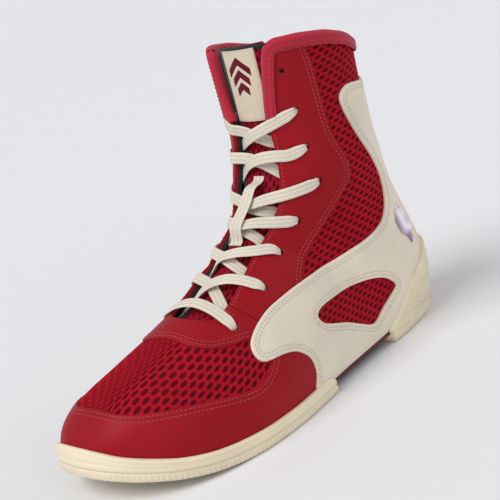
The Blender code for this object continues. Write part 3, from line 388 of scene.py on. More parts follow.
def throat_distance(grid):
    """Positive outside the throat opening."""
    ahead = grid.along - THROAT_RUN[0]
    d = np.abs(grid.arc) - throat_half(grid.along, grid.arc)
    return np.where(ahead < 0, np.hypot(grid.arc, ahead), d)


def collar_distance(grid):
    """Positive below the collar's top line."""
    return np.interp(grid.p[..., 1], *np.array(COLLAR_LINE).T) - grid.p[..., 2]


HOLE_SPOTS = [locate(l, h) for l, h in HOLES]
HOLE_POINTS = np.array([spot(run, side * arc)[0][0] for run, arc in HOLE_SPOTS for side in (-1, 1)])
THROAT_FIELD = throat_distance(G1)


def holes_distance(grid):
    """Positive outside all the lace holes; the top pair is the spare, smaller one."""
    best = np.full(grid.p.shape[:2], 1e9)
    for n, middle in enumerate(HOLE_POINTS):
        radius = LACE_HOLE if n > 1 else SPARE_HOLE
        best = np.minimum(best, np.linalg.norm(grid.p - middle, axis=2) - radius)
    return best


def clear_of_holes(q):
    return np.linalg.norm(HOLE_POINTS - q, axis=1).min() > 4.5


def near_throat(q):
    """Whether a point lies in the throat's opening, where an outline's own line has been cut away."""
    return THROAT_FIELD.flat[np.linalg.norm(G1.p - q, axis=-1).argmin()] < 1.3


def on_overlay(q):
    """Whether a point lies inside the side overlay's outline in the side view."""
    inside = False
    for (ax, ay), (bx, by) in zip(SIDE_OVERLAY, SIDE_OVERLAY[1:] + SIDE_OVERLAY[:1]):
        if (ay > q[2]) != (by > q[2]) and q[1] < ax + (q[2] - ay) * (bx - ax) / (by - ay):
            inside = not inside
    return inside


def resized(field, fine):
    """A field of a coarser grid read on a finer one."""
    for size in fine.p.shape[:2]:
        count = len(field)
        at = np.linspace(0, count - 1, size)
        field = np.array([np.interp(at, np.arange(count), values) for values in field.T])
    return field


# ---- materials ----
def rgb(colour, gain=1.0):
    return (*(min(1, part * gain) for part in colour), 1)


class Paint:
    """A procedural material: colour variation, grain or weave, and bump."""

    def __init__(self, name, **inputs):
        self.m = bpy.data.materials.new(name)
        self.m.use_nodes = True
        self.t = self.m.node_tree
        self.b = self.t.nodes["Principled BSDF"]
        self.place = self.t.nodes.new("ShaderNodeTexCoord").outputs["Object"]

    def wire(self, node, inputs):
        """Links or sets a node's inputs."""
        for key, value in inputs.items():
            if isinstance(value, bpy.types.NodeSocket):
                self.t.links.new(value, node.inputs[key])
            else:
                node.inputs[key].default_value = value
        return node

    def node(self, kind, inputs):
        return self.wire(self.t.nodes.new(kind), inputs)

    def surface(self, inputs):
        self.wire(self.b, inputs)

    def noise(self, scale, detail=3.0, rough=0.55):
        inputs = {"Vector": self.place, "Scale": scale, "Detail": detail, "Roughness": rough}
        return self.node("ShaderNodeTexNoise", inputs).outputs["Fac"]

    def cells(self, scale):
        return self.node("ShaderNodeTexVoronoi", {"Vector": self.place, "Scale": scale}).outputs["Distance"]

    def attribute(self, name):
        made = self.t.nodes.new("ShaderNodeAttribute")
        made.attribute_name = name
        return made.outputs["Fac"]

    def ramp(self, factor, stops):
        made = self.node("ShaderNodeValToRGB", {"Fac": factor})
        elements = made.color_ramp.elements
        while len(elements) < len(stops):
            elements.new(0.5)
        for element, (at, colour) in zip(elements, stops):
            element.position = at
            element.color = colour
        return made.outputs["Color"]

    def tone(self, factor, colour, low, high):
        """The colour, a little darker and lighter in soft clouds."""
        return self.ramp(factor, [(0.3, rgb(colour, low)), (0.7, rgb(colour, high))])

    def span(self, factor, low, high, to_low, to_high):
        return self.node("ShaderNodeMapRange", {"Value": factor, "From Min": low, "From Max": high,
                                                "To Min": to_low, "To Max": to_high}).outputs["Result"]

    def mix(self, factor, a, b):
        made = self.t.nodes.new("ShaderNodeMix")
        made.data_type = "RGBA"
        return self.wire(made, {0: factor, 6: a, 7: b}).outputs[2]

    def math(self, kind, a, b=0.0):
        made = self.t.nodes.new("ShaderNodeMath")
        made.operation = kind
        return self.wire(made, {0: a, 1: b}).outputs[0]

    def bump(self, height, strength, distance):
        made = self.node("ShaderNodeBump", {"Height": height, "Strength": strength, "Distance": distance})
        before = self.b.inputs["Normal"].links
        if before:
            self.wire(made, {"Normal": before[0].from_socket})
        self.surface({"Normal": made.outputs["Normal"]})


def leather(name, colour, roughness, grain=900):
    p = Paint(name)
    cloud, worn = p.noise(22, 4), p.noise(7, 6, 0.65)
    pores, fine = p.cells(grain), p.noise(2600, 2)
    tone = p.tone(cloud, colour, 0.90, 1.08)
    p.surface({"Base Color": p.mix(p.span(worn, 0.52, 0.72, 0.0, 0.22), tone, rgb(colour, 1.22)),
               "Roughness": p.span(p.math("ADD", cloud, fine), 0.6, 1.4, roughness - 0.05, roughness + 0.10),
               "Specular IOR Level": 0.13})
    p.bump(pores, 0.28, 0.00012)
    p.bump(fine, 0.14, 0.00005)
    return p.m


def knit(name, colour, hole_shade_colour):
    """Sports mesh: the holes come from the shape and its 'pit' value, the yarn from fine cells. The holes are
    painted dark, for the lining seen through them and painted shade inside them.
    """
    p = Paint(name)
    yarn, fuzz = p.cells(1500), p.noise(1900, 3)
    tone = p.tone(p.noise(30, 3), colour, 0.86, 1.10)
    tone = p.mix(p.span(yarn, 0.1, 0.7, 0.0, 0.38), tone, rgb(colour, 0.55))
    # the 'pit' value paints each hole dark: the lining under the mesh and painted shade in the hole
    p.surface({"Base Color": p.mix(p.span(p.attribute("pit"), 0.18, 0.62, 0.0, 1.0), tone, (*hole_shade_colour, 1)),
               "Roughness": p.span(fuzz, 0.3, 0.7, 0.62, 0.85), "Specular IOR Level": 0.1,
               "Sheen Weight": 0.06, "Sheen Roughness": 0.45, "Sheen Tint": rgb(colour, 1.6)})
    p.bump(yarn, 0.5, 0.00022)
    p.bump(fuzz, 0.3, 0.0001)
    return p.m


def cloth(name, colour, scale=1400, sheen=0.2, contrast=0.6, roughness=0.85):
    p = Paint(name)
    weave, fuzz = p.cells(scale), p.noise(scale * 1.6, 3)
    tone = p.tone(p.noise(26, 3), colour, 0.90, 1.08)
    p.surface({"Base Color": p.mix(p.span(weave, 0.15, 0.75, 0.0, 0.45), tone, rgb(colour, contrast)),
               "Roughness": p.span(fuzz, 0.3, 0.7, roughness - 0.1, roughness + 0.08),
               "Sheen Weight": sheen, "Sheen Roughness": 0.5})
    p.bump(weave, 0.5, 0.0002)
    p.bump(fuzz, 0.25, 0.0001)
    return p.m


def woven(name, colour, pick=0.9, rib=0.8):
    """Flat woven webbing: picks along 'run' and ribs along 'round', both stored on the mesh in mm."""
    p = Paint(name)
    picks = p.math("SINE", p.math("MULTIPLY", p.attribute("run"), 2 * math.pi / pick))
    ribs = p.math("SINE", p.math("MULTIPLY", p.attribute("round"), 2 * math.pi / rib))
    weave, fuzz = p.math("MULTIPLY", picks, ribs), p.noise(2500, 3)
    tone = p.tone(p.noise(60, 3), colour, 0.94, 1.05)
    tone = p.mix(p.span(weave, -1, 0.4, 0.24, 0.0), tone, rgb(colour, 0.62))
    # painted shade: the lace is darker in the grooves between its raised ribs, where the stored rib crest is low
    p.surface({"Base Color": p.mix(p.span(p.attribute("rib"), -1, 0.1, 0.45, 0.0), tone, rgb(colour, 0.42)),
               "Roughness": p.span(fuzz, 0.3, 0.7, 0.72, 0.9), "Sheen Weight": 0.15})
    p.bump(weave, 0.55, 0.0001)
    p.bump(fuzz, 0.25, 0.00008)
    return p.m


def rubber(name, colour, roughness=0.55):
    p = Paint(name)
    grit, dust = p.noise(1800, 4, 0.6), p.noise(55, 6, 0.7)
    tone = p.tone(p.noise(18, 5), colour, 0.93, 1.05)
    p.surface({"Base Color": p.mix(p.span(dust, 0.5, 0.75, 0.0, 0.25), tone, rgb(colour, 0.82)),
               "Roughness": p.span(grit, 0.3, 0.7, roughness - 0.08, roughness + 0.12),
               "Specular IOR Level": 0.4})
    p.bump(grit, 0.25, 0.0001)
    return p.m


def painted_reflection_badge(name):
    """Metallic mauve film with painted reflections: soft light and dark bands fixed across it."""
    p = Paint(name)
    axes = p.node("ShaderNodeSeparateXYZ", {"Vector": p.place}).outputs
    tilt = p.math("ADD", p.math("MULTIPLY", axes[1], 34.0), p.math("MULTIPLY", axes[2], 47.0))
    wave = p.math("SINE", p.math("ADD", tilt, p.math("MULTIPLY", p.noise(40, 1), 4.0)))
    scratch = p.noise(900, 4)
    # painted reflections: dark purple, mauve, a near-white highlight and purple, in bands set by position
    reflection_bands = [(0.1, (0.20, 0.11, 0.21, 1)), (0.4, (0.72, 0.56, 0.68, 1)), (0.62, (0.97, 0.93, 0.96, 1)),
             (0.9, (0.40, 0.27, 0.40, 1))]
    p.surface({"Base Color": p.ramp(p.span(wave, -1, 1, 0, 1), reflection_bands), "Metallic": 0.9,
               "Roughness": p.span(scratch, 0.3, 0.7, 0.12, 0.30)})
    p.bump(scratch, 0.1, 0.00005)
    return p.m


MAT = {
    "red_skin": leather("red_leather", RED, 0.42),
    "cream_skin": leather("cream_leather", CREAM, 0.50, 1100),
    # the dark hole colours stand for the lining seen through the mesh and painted shade in the holes
    "red_mesh": knit("red_sports_mesh", RED_MESH, (0.10, 0.002, 0.008)),
    "tongue_mesh": knit("tongue_mesh", (0.38, 0.006, 0.022), (0.09, 0.0015, 0.007)),
    "crimson_binding": cloth("crimson_binding_tape", CRIMSON, 1500, 0.12),
    "black_lining": cloth("black_knit_lining", (0.012, 0.012, 0.014), 1100, 0.15, 0.4),
    "lace": woven("lace_weave", LACE_TONE),
    "label": cloth("label_satin", (0.73, 0.635, 0.475), 2200, 0.1, 0.8, 0.6),
    "cream_rubber": rubber("cream_rubber", RUBBER),
    "maroon_plate": rubber("maroon_plate", (0.10, 0.010, 0.018), 0.4),
    "red_thread": cloth("red_thread", (0.47, 0.055, 0.075), 3000, 0.2),
    "cream_thread": cloth("cream_thread", (0.60, 0.56, 0.49), 3000, 0.1),
    "crimson_thread": cloth("crimson_thread", (0.22, 0.004, 0.012), 3000, 0.1),
    "mark": leather("dark_red_print", (0.13, 0.004, 0.016), 0.5),
    # the badge's light and dark bands are painted reflections
    "badge": painted_reflection_badge("badge_painted_reflections"),
    "foam": cloth("insole_knit", (0.03, 0.03, 0.033), 900, 0.2),
    "board": cloth("fibre_board", (0.42, 0.36, 0.28), 700, 0.0, 0.7),
    "aglet": rubber("clear_lace_tip", (0.72, 0.68, 0.60), 0.25),
}


# ---- making objects ----
def to_world(points):
    p = np.asarray(points, float)
    return np.column_stack([(p[:, 0] - MID_W) / 1000, (MID_L - p[:, 1]) / 1000, p[:, 2] / 1000])


def add_mesh(name, points, faces, paint, values=None, body="root", replaces=None):
    """A mesh object from boot millimetres, with numbers stored on its points and its paint as its material. If
    nothing else is said, it replaces the CAD node of its own name."""
    mesh = bpy.data.meshes.new(name)
    mesh.from_pydata(to_world(points).tolist(), [], [tuple(int(i) for i in f) for f in faces])
    mesh.validate()
    for key, value in (values or {}).items():
        stored = mesh.attributes.new(key, "FLOAT", "POINT")
        stored.data.foreach_set("value", np.asarray(value, np.float32))
    mesh.materials.append(MAT[paint])
    mesh.shade_smooth()
    obj = bpy.data.objects.new(name, mesh)
    bpy.context.scene.collection.objects.link(obj)
    if replaces is None:
        replaces = [name]
    if replaces:
        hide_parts(*replaces)
    if body:
        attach(obj, body)
    return obj


def tube(count, size):
    """Quads joining a number of rings of size points each."""
    faces = []
    for k in range(count - 1):
        for s in range(size):
            a, b = k * size + s, k * size + (s + 1) % size
            faces.append((a, b, b + size, a + size))
    return faces


def capped_tube(count, size):
    """The same with both ends closed."""
    last = (count - 1) * size
    return tube(count, size) + [tuple(range(size - 1, -1, -1)), tuple(range(last, last + size))]


def grid_triangles(rows, cols):
    a = (np.arange(rows - 1)[:, None] * cols + np.arange(cols - 1)[None]).reshape(-1)
    b, c, d = a + 1, a + cols + 1, a + cols
    odd = ((a // cols + a % cols) % 2).astype(bool)[:, None]
    return np.concatenate([np.where(odd, np.column_stack([a, b, c]), np.column_stack([a, b, d])),
                           np.where(odd, np.column_stack([a, c, d]), np.column_stack([b, c, d]))])


def clip_grid(dist, fields):
    """Triangles of the grid where dist > 0, cut exactly at dist = 0. fields are (rows, cols, k) arrays."""
    flat = dist.reshape(-1).copy()
    flat[np.abs(flat) < 0.04] = 0.04
    tri = grid_triangles(*dist.shape)
    inside = flat[tri] > 0
    count = inside.sum(axis=1)
    cut = []
    for amount in (1, 2):  # turned so that the odd corner comes first
        part, mask = tri[count == amount], inside[count == amount]
        odd = np.argmax(mask if amount == 1 else ~mask, axis=1)
        cut.append(np.take_along_axis(part, (odd[:, None] + np.arange(3)) % 3, axis=1))
    one, two = cut
    edges = np.concatenate([one[:, [0, 1]], one[:, [0, 2]], two[:, [0, 1]], two[:, [0, 2]]])
    edges, back = np.unique(np.sort(edges, axis=1), axis=0, return_inverse=True)
    e01, e02, f01, f02 = np.split(flat.size + back.reshape(-1), np.cumsum([len(one), len(one), len(two)]))
    corners = [(one[:, 0], e01, e02), (f01, two[:, 1], two[:, 2]), (f01, two[:, 2], f02)]
    faces = np.concatenate([tri[count == 3], *(np.column_stack(three) for three in corners)])
    low, high = edges.T
    t = (flat[low] / (flat[low] - flat[high]))[:, None]
    used, faces = np.unique(faces, return_inverse=True)
    out = []
    for field in fields:
        f = field.reshape(flat.size, -1)
        out.append(np.concatenate([f, f[low] * (1 - t) + f[high] * t])[used])
    return faces.reshape(-1, 3), np.concatenate([flat, np.zeros(len(edges))])[used], out


def shell(faces, top, bottom):
    """Closes a top and a bottom sheet with walls, which have their own points so that the edge stays crisp."""
    count = len(top)
    ends = np.concatenate([faces[:, [0, 1]], faces[:, [1, 2]], faces[:, [2, 0]]]).astype(np.int64)
    rim = ends[~np.isin(ends[:, 0] * count + ends[:, 1], ends[:, 1] * count + ends[:, 0])]
    rim_points = np.unique(rim)
    where = np.full(count, -1)
    where[rim_points] = np.arange(len(rim_points))
    base, k = 2 * count, len(rim_points)
    a, b = where[rim[:, 0]], where[rim[:, 1]]
    walls = np.concatenate([np.column_stack([base + b, base + a, base + k + a]),
                            np.column_stack([base + b, base + k + a, base + k + b])])
    points = np.concatenate([top, bottom, top[rim_points], bottom[rim_points]])
    return points, np.concatenate([faces, faces[:, ::-1] + count, walls]), rim_points


def panel(name, grid, dist, inner, outer, paint, round_off=0.55, rows=(None,), cols=(None,), lift=None,
          pit=None, grooves=(), body="root", replaces=None):
    """A sheet of the upper: the part of the last where dist > 0, from one offset to another."""
    r, c = slice(*rows), slice(*cols)
    d = dist[r, c]
    extra = np.zeros(d.shape) if lift is None else lift[r, c]
    pits = np.zeros(d.shape) if pit is None else pit[r, c]
    faces, dd, (pp, nn, ee, kk) = clip_grid(d, [grid.p[r, c], grid.n[r, c], extra, pits])
    nn = unit(nn)
    edge = 1 - np.clip(dd / round_off, 0, 1)
    drop = round_off * (1 - np.sqrt(np.clip(1 - edge * edge, 0, 1)))
    for level in grooves:
        drop = drop + 0.16 * np.exp(-((dd - level) / 0.55) ** 2)
    points, all_faces, rim = shell(faces, pp + nn * (outer - drop + ee[:, 0])[:, None], pp + nn * inner)
    a, b, c = points[all_faces[0]]
    if np.dot(np.cross(b - a, c - a), nn[faces[0, 0]]) < 0:
        all_faces = all_faces[:, ::-1]
    kk = kk[:, 0]
    values = {"pit": np.concatenate([kk, kk, kk[rim], kk[rim]])} if pit is not None else None
    return add_mesh(name, points, all_faces, paint, values, body, replaces)


def chains(links):
    """Runs of linked keys, open ones first."""
    left = set(links)
    for start in sorted(k for k in links if len(links[k]) == 1) + sorted(links):
        if start not in left:
            continue
        chain, ahead = [], [start]
        while ahead:
            chain.append(ahead[0])
            left.discard(ahead[0])
            ahead = [k for k in links[chain[-1]] if k in left]
        yield chain


def contours(grid, dist, levels, rows=(None,), cols=(None,)):
    """Polylines where dist equals each level: lists of (points, outward directions)."""
    r, c = slice(*rows), slice(*cols)
    p, n = grid.p[r, c].reshape(-1, 3), grid.n[r, c].reshape(-1, 3)
    lines = []
    for level in levels:
        d = dist[r, c] - level
        for _ in range(4):
            d = evened(evened(d).T).T
        flat, tri = d.reshape(-1), grid_triangles(*d.shape)
        sign = (flat[tri] > 0).sum(axis=1)
        links = {}
        for corners in tri[(sign > 0) & (sign < 3)]:
            ends = [(min(s, t), max(s, t)) for s, t in zip(corners, np.roll(corners, -1))
                    if (flat[s] > 0) != (flat[t] > 0)]
            links.setdefault(ends[0], []).append(ends[1])
            links.setdefault(ends[1], []).append(ends[0])
        for chain in chains(links):
            if len(chain) > 6:
                a, b = np.array(chain).T
                share = (flat[a] / (flat[a] - flat[b]))[:, None]
                lines.append((p[a] * (1 - share) + p[b] * share, unit(n[a] * (1 - share) + n[b] * share)))
    return lines


STITCH_RINGS = [(-1.0, 0.15), (-0.72, 0.8), (0.0, 1.0), (0.72, 0.8), (1.0, 0.15)]
STITCH_AROUND = 6


def stitches(name, lines, offset, thread, pitch=2.5, length=1.75, width=0.55, body="root", keep=None):
    """Rows of raised stitches along polylines (points, outward directions)."""
    one_stitch = capped_tube(len(STITCH_RINGS), STITCH_AROUND)
    points, faces = [], []
    for line, out in lines:
        line, out = evened(line, 3), unit(evened(out, 3))
        gone = length_along(line)
        if gone[-1] < 3 * pitch:
            continue
        at = np.arange(0.6 * pitch, gone[-1], pitch)

        def read(values, where):
            return np.column_stack([np.interp(where, gone, values[:, k]) for k in range(3)])

        centre = read(line, at)
        ahead = unit(read(line, at + 0.4) - read(line, at - 0.4))
        up = unit(read(out, at))
        flat = unit(np.cross(up, ahead))
        for k in range(len(at)):
            if keep is not None and not keep(centre[k]):
                continue
            base = len(points)
            middle = centre[k] + up[k] * offset
            for t, swell in STITCH_RINGS:
                bow = 0.18 * (1 - t * t) - 0.1
                for turn in np.arange(STITCH_AROUND) * 2 * math.pi / STITCH_AROUND:
                    high, wide = 0.4 * width * swell * math.sin(turn), 0.5 * width * swell * math.cos(turn)
                    points.append(middle + ahead[k] * t * length / 2 + up[k] * (bow + high) + flat[k] * wide)
            faces += [[base + s for s in face] for face in one_stitch]
    return add_mesh(name, np.array(points), faces, thread, None, body, ())


def ribbon(name, centres, outs, widths, thicks, paint, ribs=3, rib_height=0.2, around=28):
    """A flat woven strip: rounded edges, raised ribs along it, and run, round and rib stored for the weave and
    for the painted shade between the ribs.
    """
    centres, outs = np.array(centres), unit(np.array(outs))
    ahead = unit(np.gradient(centres, axis=0))
    side = unit(np.cross(outs, ahead))
    up = np.cross(ahead, side)
    gone = length_along(centres)
    level = np.sin(np.linspace(-0.5, 0.5, around // 2 + 1) * math.pi * 0.97) / math.sin(0.485 * math.pi)
    xs = np.concatenate([level, level[-2:0:-1]])
    sign = np.concatenate([np.ones(len(level)), -np.ones(len(level) - 2)])
    ys = np.sqrt(1 - 0.985 * np.abs(xs) ** 5) * sign
    crest = np.cos(math.pi * ribs * xs) * (1 - np.abs(xs) ** 6)
    rib = np.sign(ys) * rib_height * crest * np.minimum(1, np.abs(ys) * 2)
    points = [centres[k] + np.outer(xs * widths[k] / 2, side[k]) + np.outer(ys * thicks[k] / 2 + rib, up[k])
              for k in range(len(centres))]
    # rib holds the rib crest, which the lace paint uses for painted shade in the grooves
    values = {"run": np.repeat(gone, len(xs)), "round": np.concatenate([xs * width / 2 for width in widths]),
              "rib": np.tile(crest, len(centres))}
    add_mesh(name, np.concatenate(points), capped_tube(len(centres), len(xs)), paint, values)


# ---- upper ----
def side_mm(grid):
    """Distance along the boot and up it, evened out round the back of the shaft."""
    l, h = grid.p[..., 1], grid.p[..., 2]
    rounded = 67 + 43 * np.arcsin(np.clip((l - 67) / 45, -1, 1))
    share = ease((h - 70) / 30)
    return l * (1 - share) + rounded * share, h


def net(s, t, pitch_s, pitch_t, half_s, half_t):
    """Staggered oval holes: 1 at a hole's middle, 0 on the yarn."""
    value = 0
    for step in (-1, 0, 1):  # the row above or below may hold the nearer hole
        row = np.round(t / pitch_t) + step
        along = (s - np.where(row % 2 == 0, 0.0, 0.5) * pitch_s) / pitch_s
        along = (along - np.round(along)) * pitch_s
        r = np.sqrt((along / half_s) ** 2 + ((t - row * pitch_t) / half_t) ** 2)
        value = np.maximum(value, np.clip(1.25 - r, 0, 1) / 0.75)
    return np.clip(value, 0, 1)


OVERLAY, WINDOW = outline_distance(G2, SIDE_OVERLAY), outline_distance(G2, OVERLAY_WINDOW)
RAND, BAND = outline_distance(G2, TOE_RAND), outline_distance(G2, THROAT_BAND)
STAY, OPENING, COLLAR = outline_distance(G2, EYESTAY_BACK), throat_distance(G2), collar_distance(G2)
PUNCHED = holes_distance(G2)
BESIDE_OVERLAY = 0.1 - OVERLAY


def make_overlays():
    badge = outline_distance(G2, BADGE_OUTLINE, sharp=True)
    shape = np.minimum(OVERLAY, -WINDOW)
    for tag, cols in G2.sides:
        panel("side_overlay_" + tag, G2, shape, UPPER_BOTTOM, 1.15, "cream_skin", 0.7, (60, None), cols,
              grooves=OVERLAY_SEAMS)
        stitches("side_overlay_stitches_" + tag, contours(G2, shape, OVERLAY_SEAMS, (60, None), cols), 1.12,
                 "cream_thread", keep=lambda q: q[2] > 13 and q[1] > 3)
        panel("badge_" + tag, G2, badge, 1.1, 2.2, "badge", 0.5, (CORNER_ROW * 2, None), cols,
              lift=0.6 * np.clip(badge / 3.4, 0, 1))


def make_front():
    vamp_end = VAMP_ROWS * 2
    panel("toe_rand", G2, np.minimum(RAND, BESIDE_OVERLAY), UPPER_BOTTOM, 0.35, "red_skin", 0.45,
          (0, vamp_end + 60), grooves=RAND_SEAMS)
    stitches("toe_rand_stitches", contours(G2, RAND, RAND_SEAMS, (3, vamp_end + 40)), 0.3, "red_thread",
             keep=lambda q: q[2] > 22 and not on_overlay(q))
    panel("throat_band", G2, np.minimum.reduce([BAND, BESIDE_OVERLAY, OPENING, PUNCHED]), STAY_BOTTOM, 0.42,
          "red_skin", 0.45, (40, vamp_end), grooves=BAND_SEAMS)
    stitches("throat_band_stitches", contours(G2, BAND, BAND_SEAMS, (40, vamp_end)), 0.38, "red_thread",
             keep=lambda q: not on_overlay(q) and q[1] > 184 and q[2] < 75 and not near_throat(q))


def make_lace_rows():
    """The eyestays, their stitching, and the black facings behind them."""
    for tag, cols in G2.sides:
        shape = np.minimum.reduce([STAY, BESIDE_OVERLAY, OPENING, COLLAR, PUNCHED])
        panel("eyestay_" + tag, G2, shape, STAY_BOTTOM, 0.32, "red_skin", 0.45, (80, None), cols,
              grooves=STAY_SEAMS)
        seams = contours(G2, STAY, STAY_SEAMS, (90, None), cols)
        stitches("eyestay_stitches_" + tag, seams, 0.28, "red_thread",
                 keep=lambda q: not on_overlay(q) and q[1] < 171 and q[2] < 197 and not near_throat(q))
        front = contours(G2, np.where(OPENING > -1, OPENING, -5), FRONT_SEAM, (90, None), cols)
        stitches("throat_edge_stitches_" + tag, front, 0.28, "red_thread",
                 keep=lambda q: 60 < q[2] < 150 and q[1] < 186 and clear_of_holes(q))
        behind = np.minimum.reduce([STAY + 4, OPENING + 0.3, COLLAR, PUNCHED + 0.2])
        panel("facing_" + tag, G2, behind, -4.4, -2.05, "black_lining", 0.5, (80, None), cols)


def make_mesh_fabric():
    """Mesh under the other panels: holes sink into it, but hardly where a panel's edge lies on it."""
    s, t = side_mm(G3)
    vamp_rows = VAMP_ROWS * 3
    middle = np.exp(-((G3.arc / 17) ** 2))
    side_pit = net(s, t + 0.12 * s, *SIDE_NET)
    top_pit = net(G3.along, G3.arc * (1 + 0.55 * middle), 7.0, 3.6, 2.9 + 0.6 * middle, 1.18)
    overlay, window, collar, stay, rand, band, opening = (
        resized(field, G3) for field in (OVERLAY, WINDOW, COLLAR, STAY, RAND, BAND, OPENING))
    tuck = 4.0  # how far the mesh runs on under the panels

    def sink(shown):
        return np.clip(shown / 1.6, 0.12, 1)

    shown = np.minimum(np.maximum(-overlay, window), -stay)
    shape = np.minimum.reduce([collar, shown + tuck, opening - 1])
    for tag, cols in G3.sides:
        panel("quarter_mesh_" + tag, G3, shape, MESH_BOTTOM, -0.55, "red_mesh", 0.3, (vamp_rows, None), cols,
              lift=-side_pit * sink(shown), pit=side_pit)
    shown = np.minimum.reduce([-rand, -band, -overlay, -stay])
    panel("vamp_mesh", G3, np.minimum(shown + tuck, opening - 1), MESH_BOTTOM, -0.5, "red_mesh", 0.3,
          (10, vamp_rows + 1), lift=-1.05 * top_pit * sink(shown), pit=top_pit)


def make_lining():
    opening = throat_distance(G1)
    shape = np.minimum(opening - 14, collar_distance(G1))
    for tag, cols in G1.sides:
        panel("lining_" + tag, G1, shape, -4.5, -3.5, "black_lining", 0.3, (VAMP_ROWS, None), cols)
    panel("lining_vamp", G1, opening - 10, -4.5, -3.5, "black_lining", 0.3, (1, VAMP_ROWS + 1))


# ---- binding ----
EDGE_HEIGHTS = (157.5, 160, 164, 168, 172, 176, 180, 184, 188, 192, 195)
COLLAR_CORNER = ((197.5, 24.3), (199.6, 26.0), (201.0, 28.6), (201.8, 31.6))
# the folded tape's section: (outward, toward the panel)
TAPE_SECTION = [(1.05, 6.4), (1.35, 6.0), (1.5, 4.5), (1.6, 2.5), (1.55, 0.9), (1.1, -0.5), (0.1, -1.45),
                (-1.3, -1.9), (-2.8, -1.85), (-4.2, -1.3), (-5.1, -0.3), (-5.5, 1.0), (-5.5, 3.0), (-5.4, 5.0),
                (-5.1, 5.6), (-4.75, 5.2), (-4.75, 2.0), (-4.6, 0.7), (-3.8, 0.1), (-2.0, 0.0), (-0.4, 0.2),
                (0.35, 0.8), (0.42, 2.0), (0.42, 4.5), (0.5, 6.3)]


def binding_half(side):
    """Points and outward directions up one front edge and round the collar to the back seam."""
    shift = MEDIAL_OPENING if side < 0 else 0
    runs = [run_at(ridge_at(h), h) for h in EDGE_HEIGHTS]
    stops = [(run, float(throat_half(run, side)) + 0.3) for run in runs]
    stops += [(run_at(SHAFT_FRONT_L, h), arc + shift) for h, arc in COLLAR_CORNER]
    path, outs = [], []
    for run, arc in stops:
        p, n = spot(run, side * arc)
        path.append(p[0])
        outs.append(n[0])
    first = (35.0 + shift) / abs(float(G1.arc[-6, -1 if side > 0 else 0]))
    for share in np.linspace(first, 1.0, 30):
        j = HALF + side * share * HALF
        j0 = int(min(j, 2 * HALF - 1))
        v = j - j0
        column = G1.p[-SHAFT_ROWS:, j0] * (1 - v) + G1.p[-SHAFT_ROWS:, j0 + 1] * v
        normal = G1.n[-SHAFT_ROWS:, j0] * (1 - v) + G1.n[-SHAFT_ROWS:, j0 + 1] * v
        top = float(np.interp(column[-1, 1], *np.array(COLLAR_LINE).T))
        k = float(np.interp(top, column[:, 2], np.arange(SHAFT_ROWS)))
        k0 = int(min(k, SHAFT_ROWS - 2))
        path.append(column[k0] * (1 - (k - k0)) + column[k0 + 1] * (k - k0))
        outs.append(unit(normal[k0]))
    outs[-1] = np.array([0, -1, 0])
    return path, outs


def make_binding():
    """Tape folded over the front edges and the collar."""
    (path, outs), (path_2, outs_2) = binding_half(1), binding_half(-1)
    path = evened(through(path + path_2[-2::-1], 5), 6)
    outs = unit(through(outs + outs_2[-2::-1], 5))
    inward = unit(np.cross(outs, unit(np.gradient(path, axis=0))))
    inward = inward * -np.sign(inward[len(inward) // 2, 2])  # down on the collar
    points = [path[k] + outs[k] * o + inward[k] * e for k in range(len(path)) for o, e in TAPE_SECTION]
    add_mesh("collar_binding", np.array(points), capped_tube(len(path), len(TAPE_SECTION)), "crimson_binding")
    for n, depth in enumerate((1.6, 4.9)):
        stitches(f"binding_stitches_{n}", [(path + inward * depth, outs)], 1.5, "crimson_thread", 2.6, 1.6, 0.5)


# ---- tongue ----
class Sheet:
    """A grid of (run, arc) over the tongue."""

    def __init__(self, run_a, run_b, half, step):
        runs = np.arange(run_a, run_b + step / 2, step)
        arcs = np.arange(-half, half + step / 2, step)
        shape = (len(runs), len(arcs))
        p, n = spot(np.repeat(runs, len(arcs)), np.tile(arcs + 1e-4, len(runs)))
        self.p, self.n = p.reshape(*shape, 3), n.reshape(*shape, 3)
        self.along = np.repeat(runs[:, None], len(arcs), 1)
        self.arc = np.repeat(arcs[None], len(runs), 0)


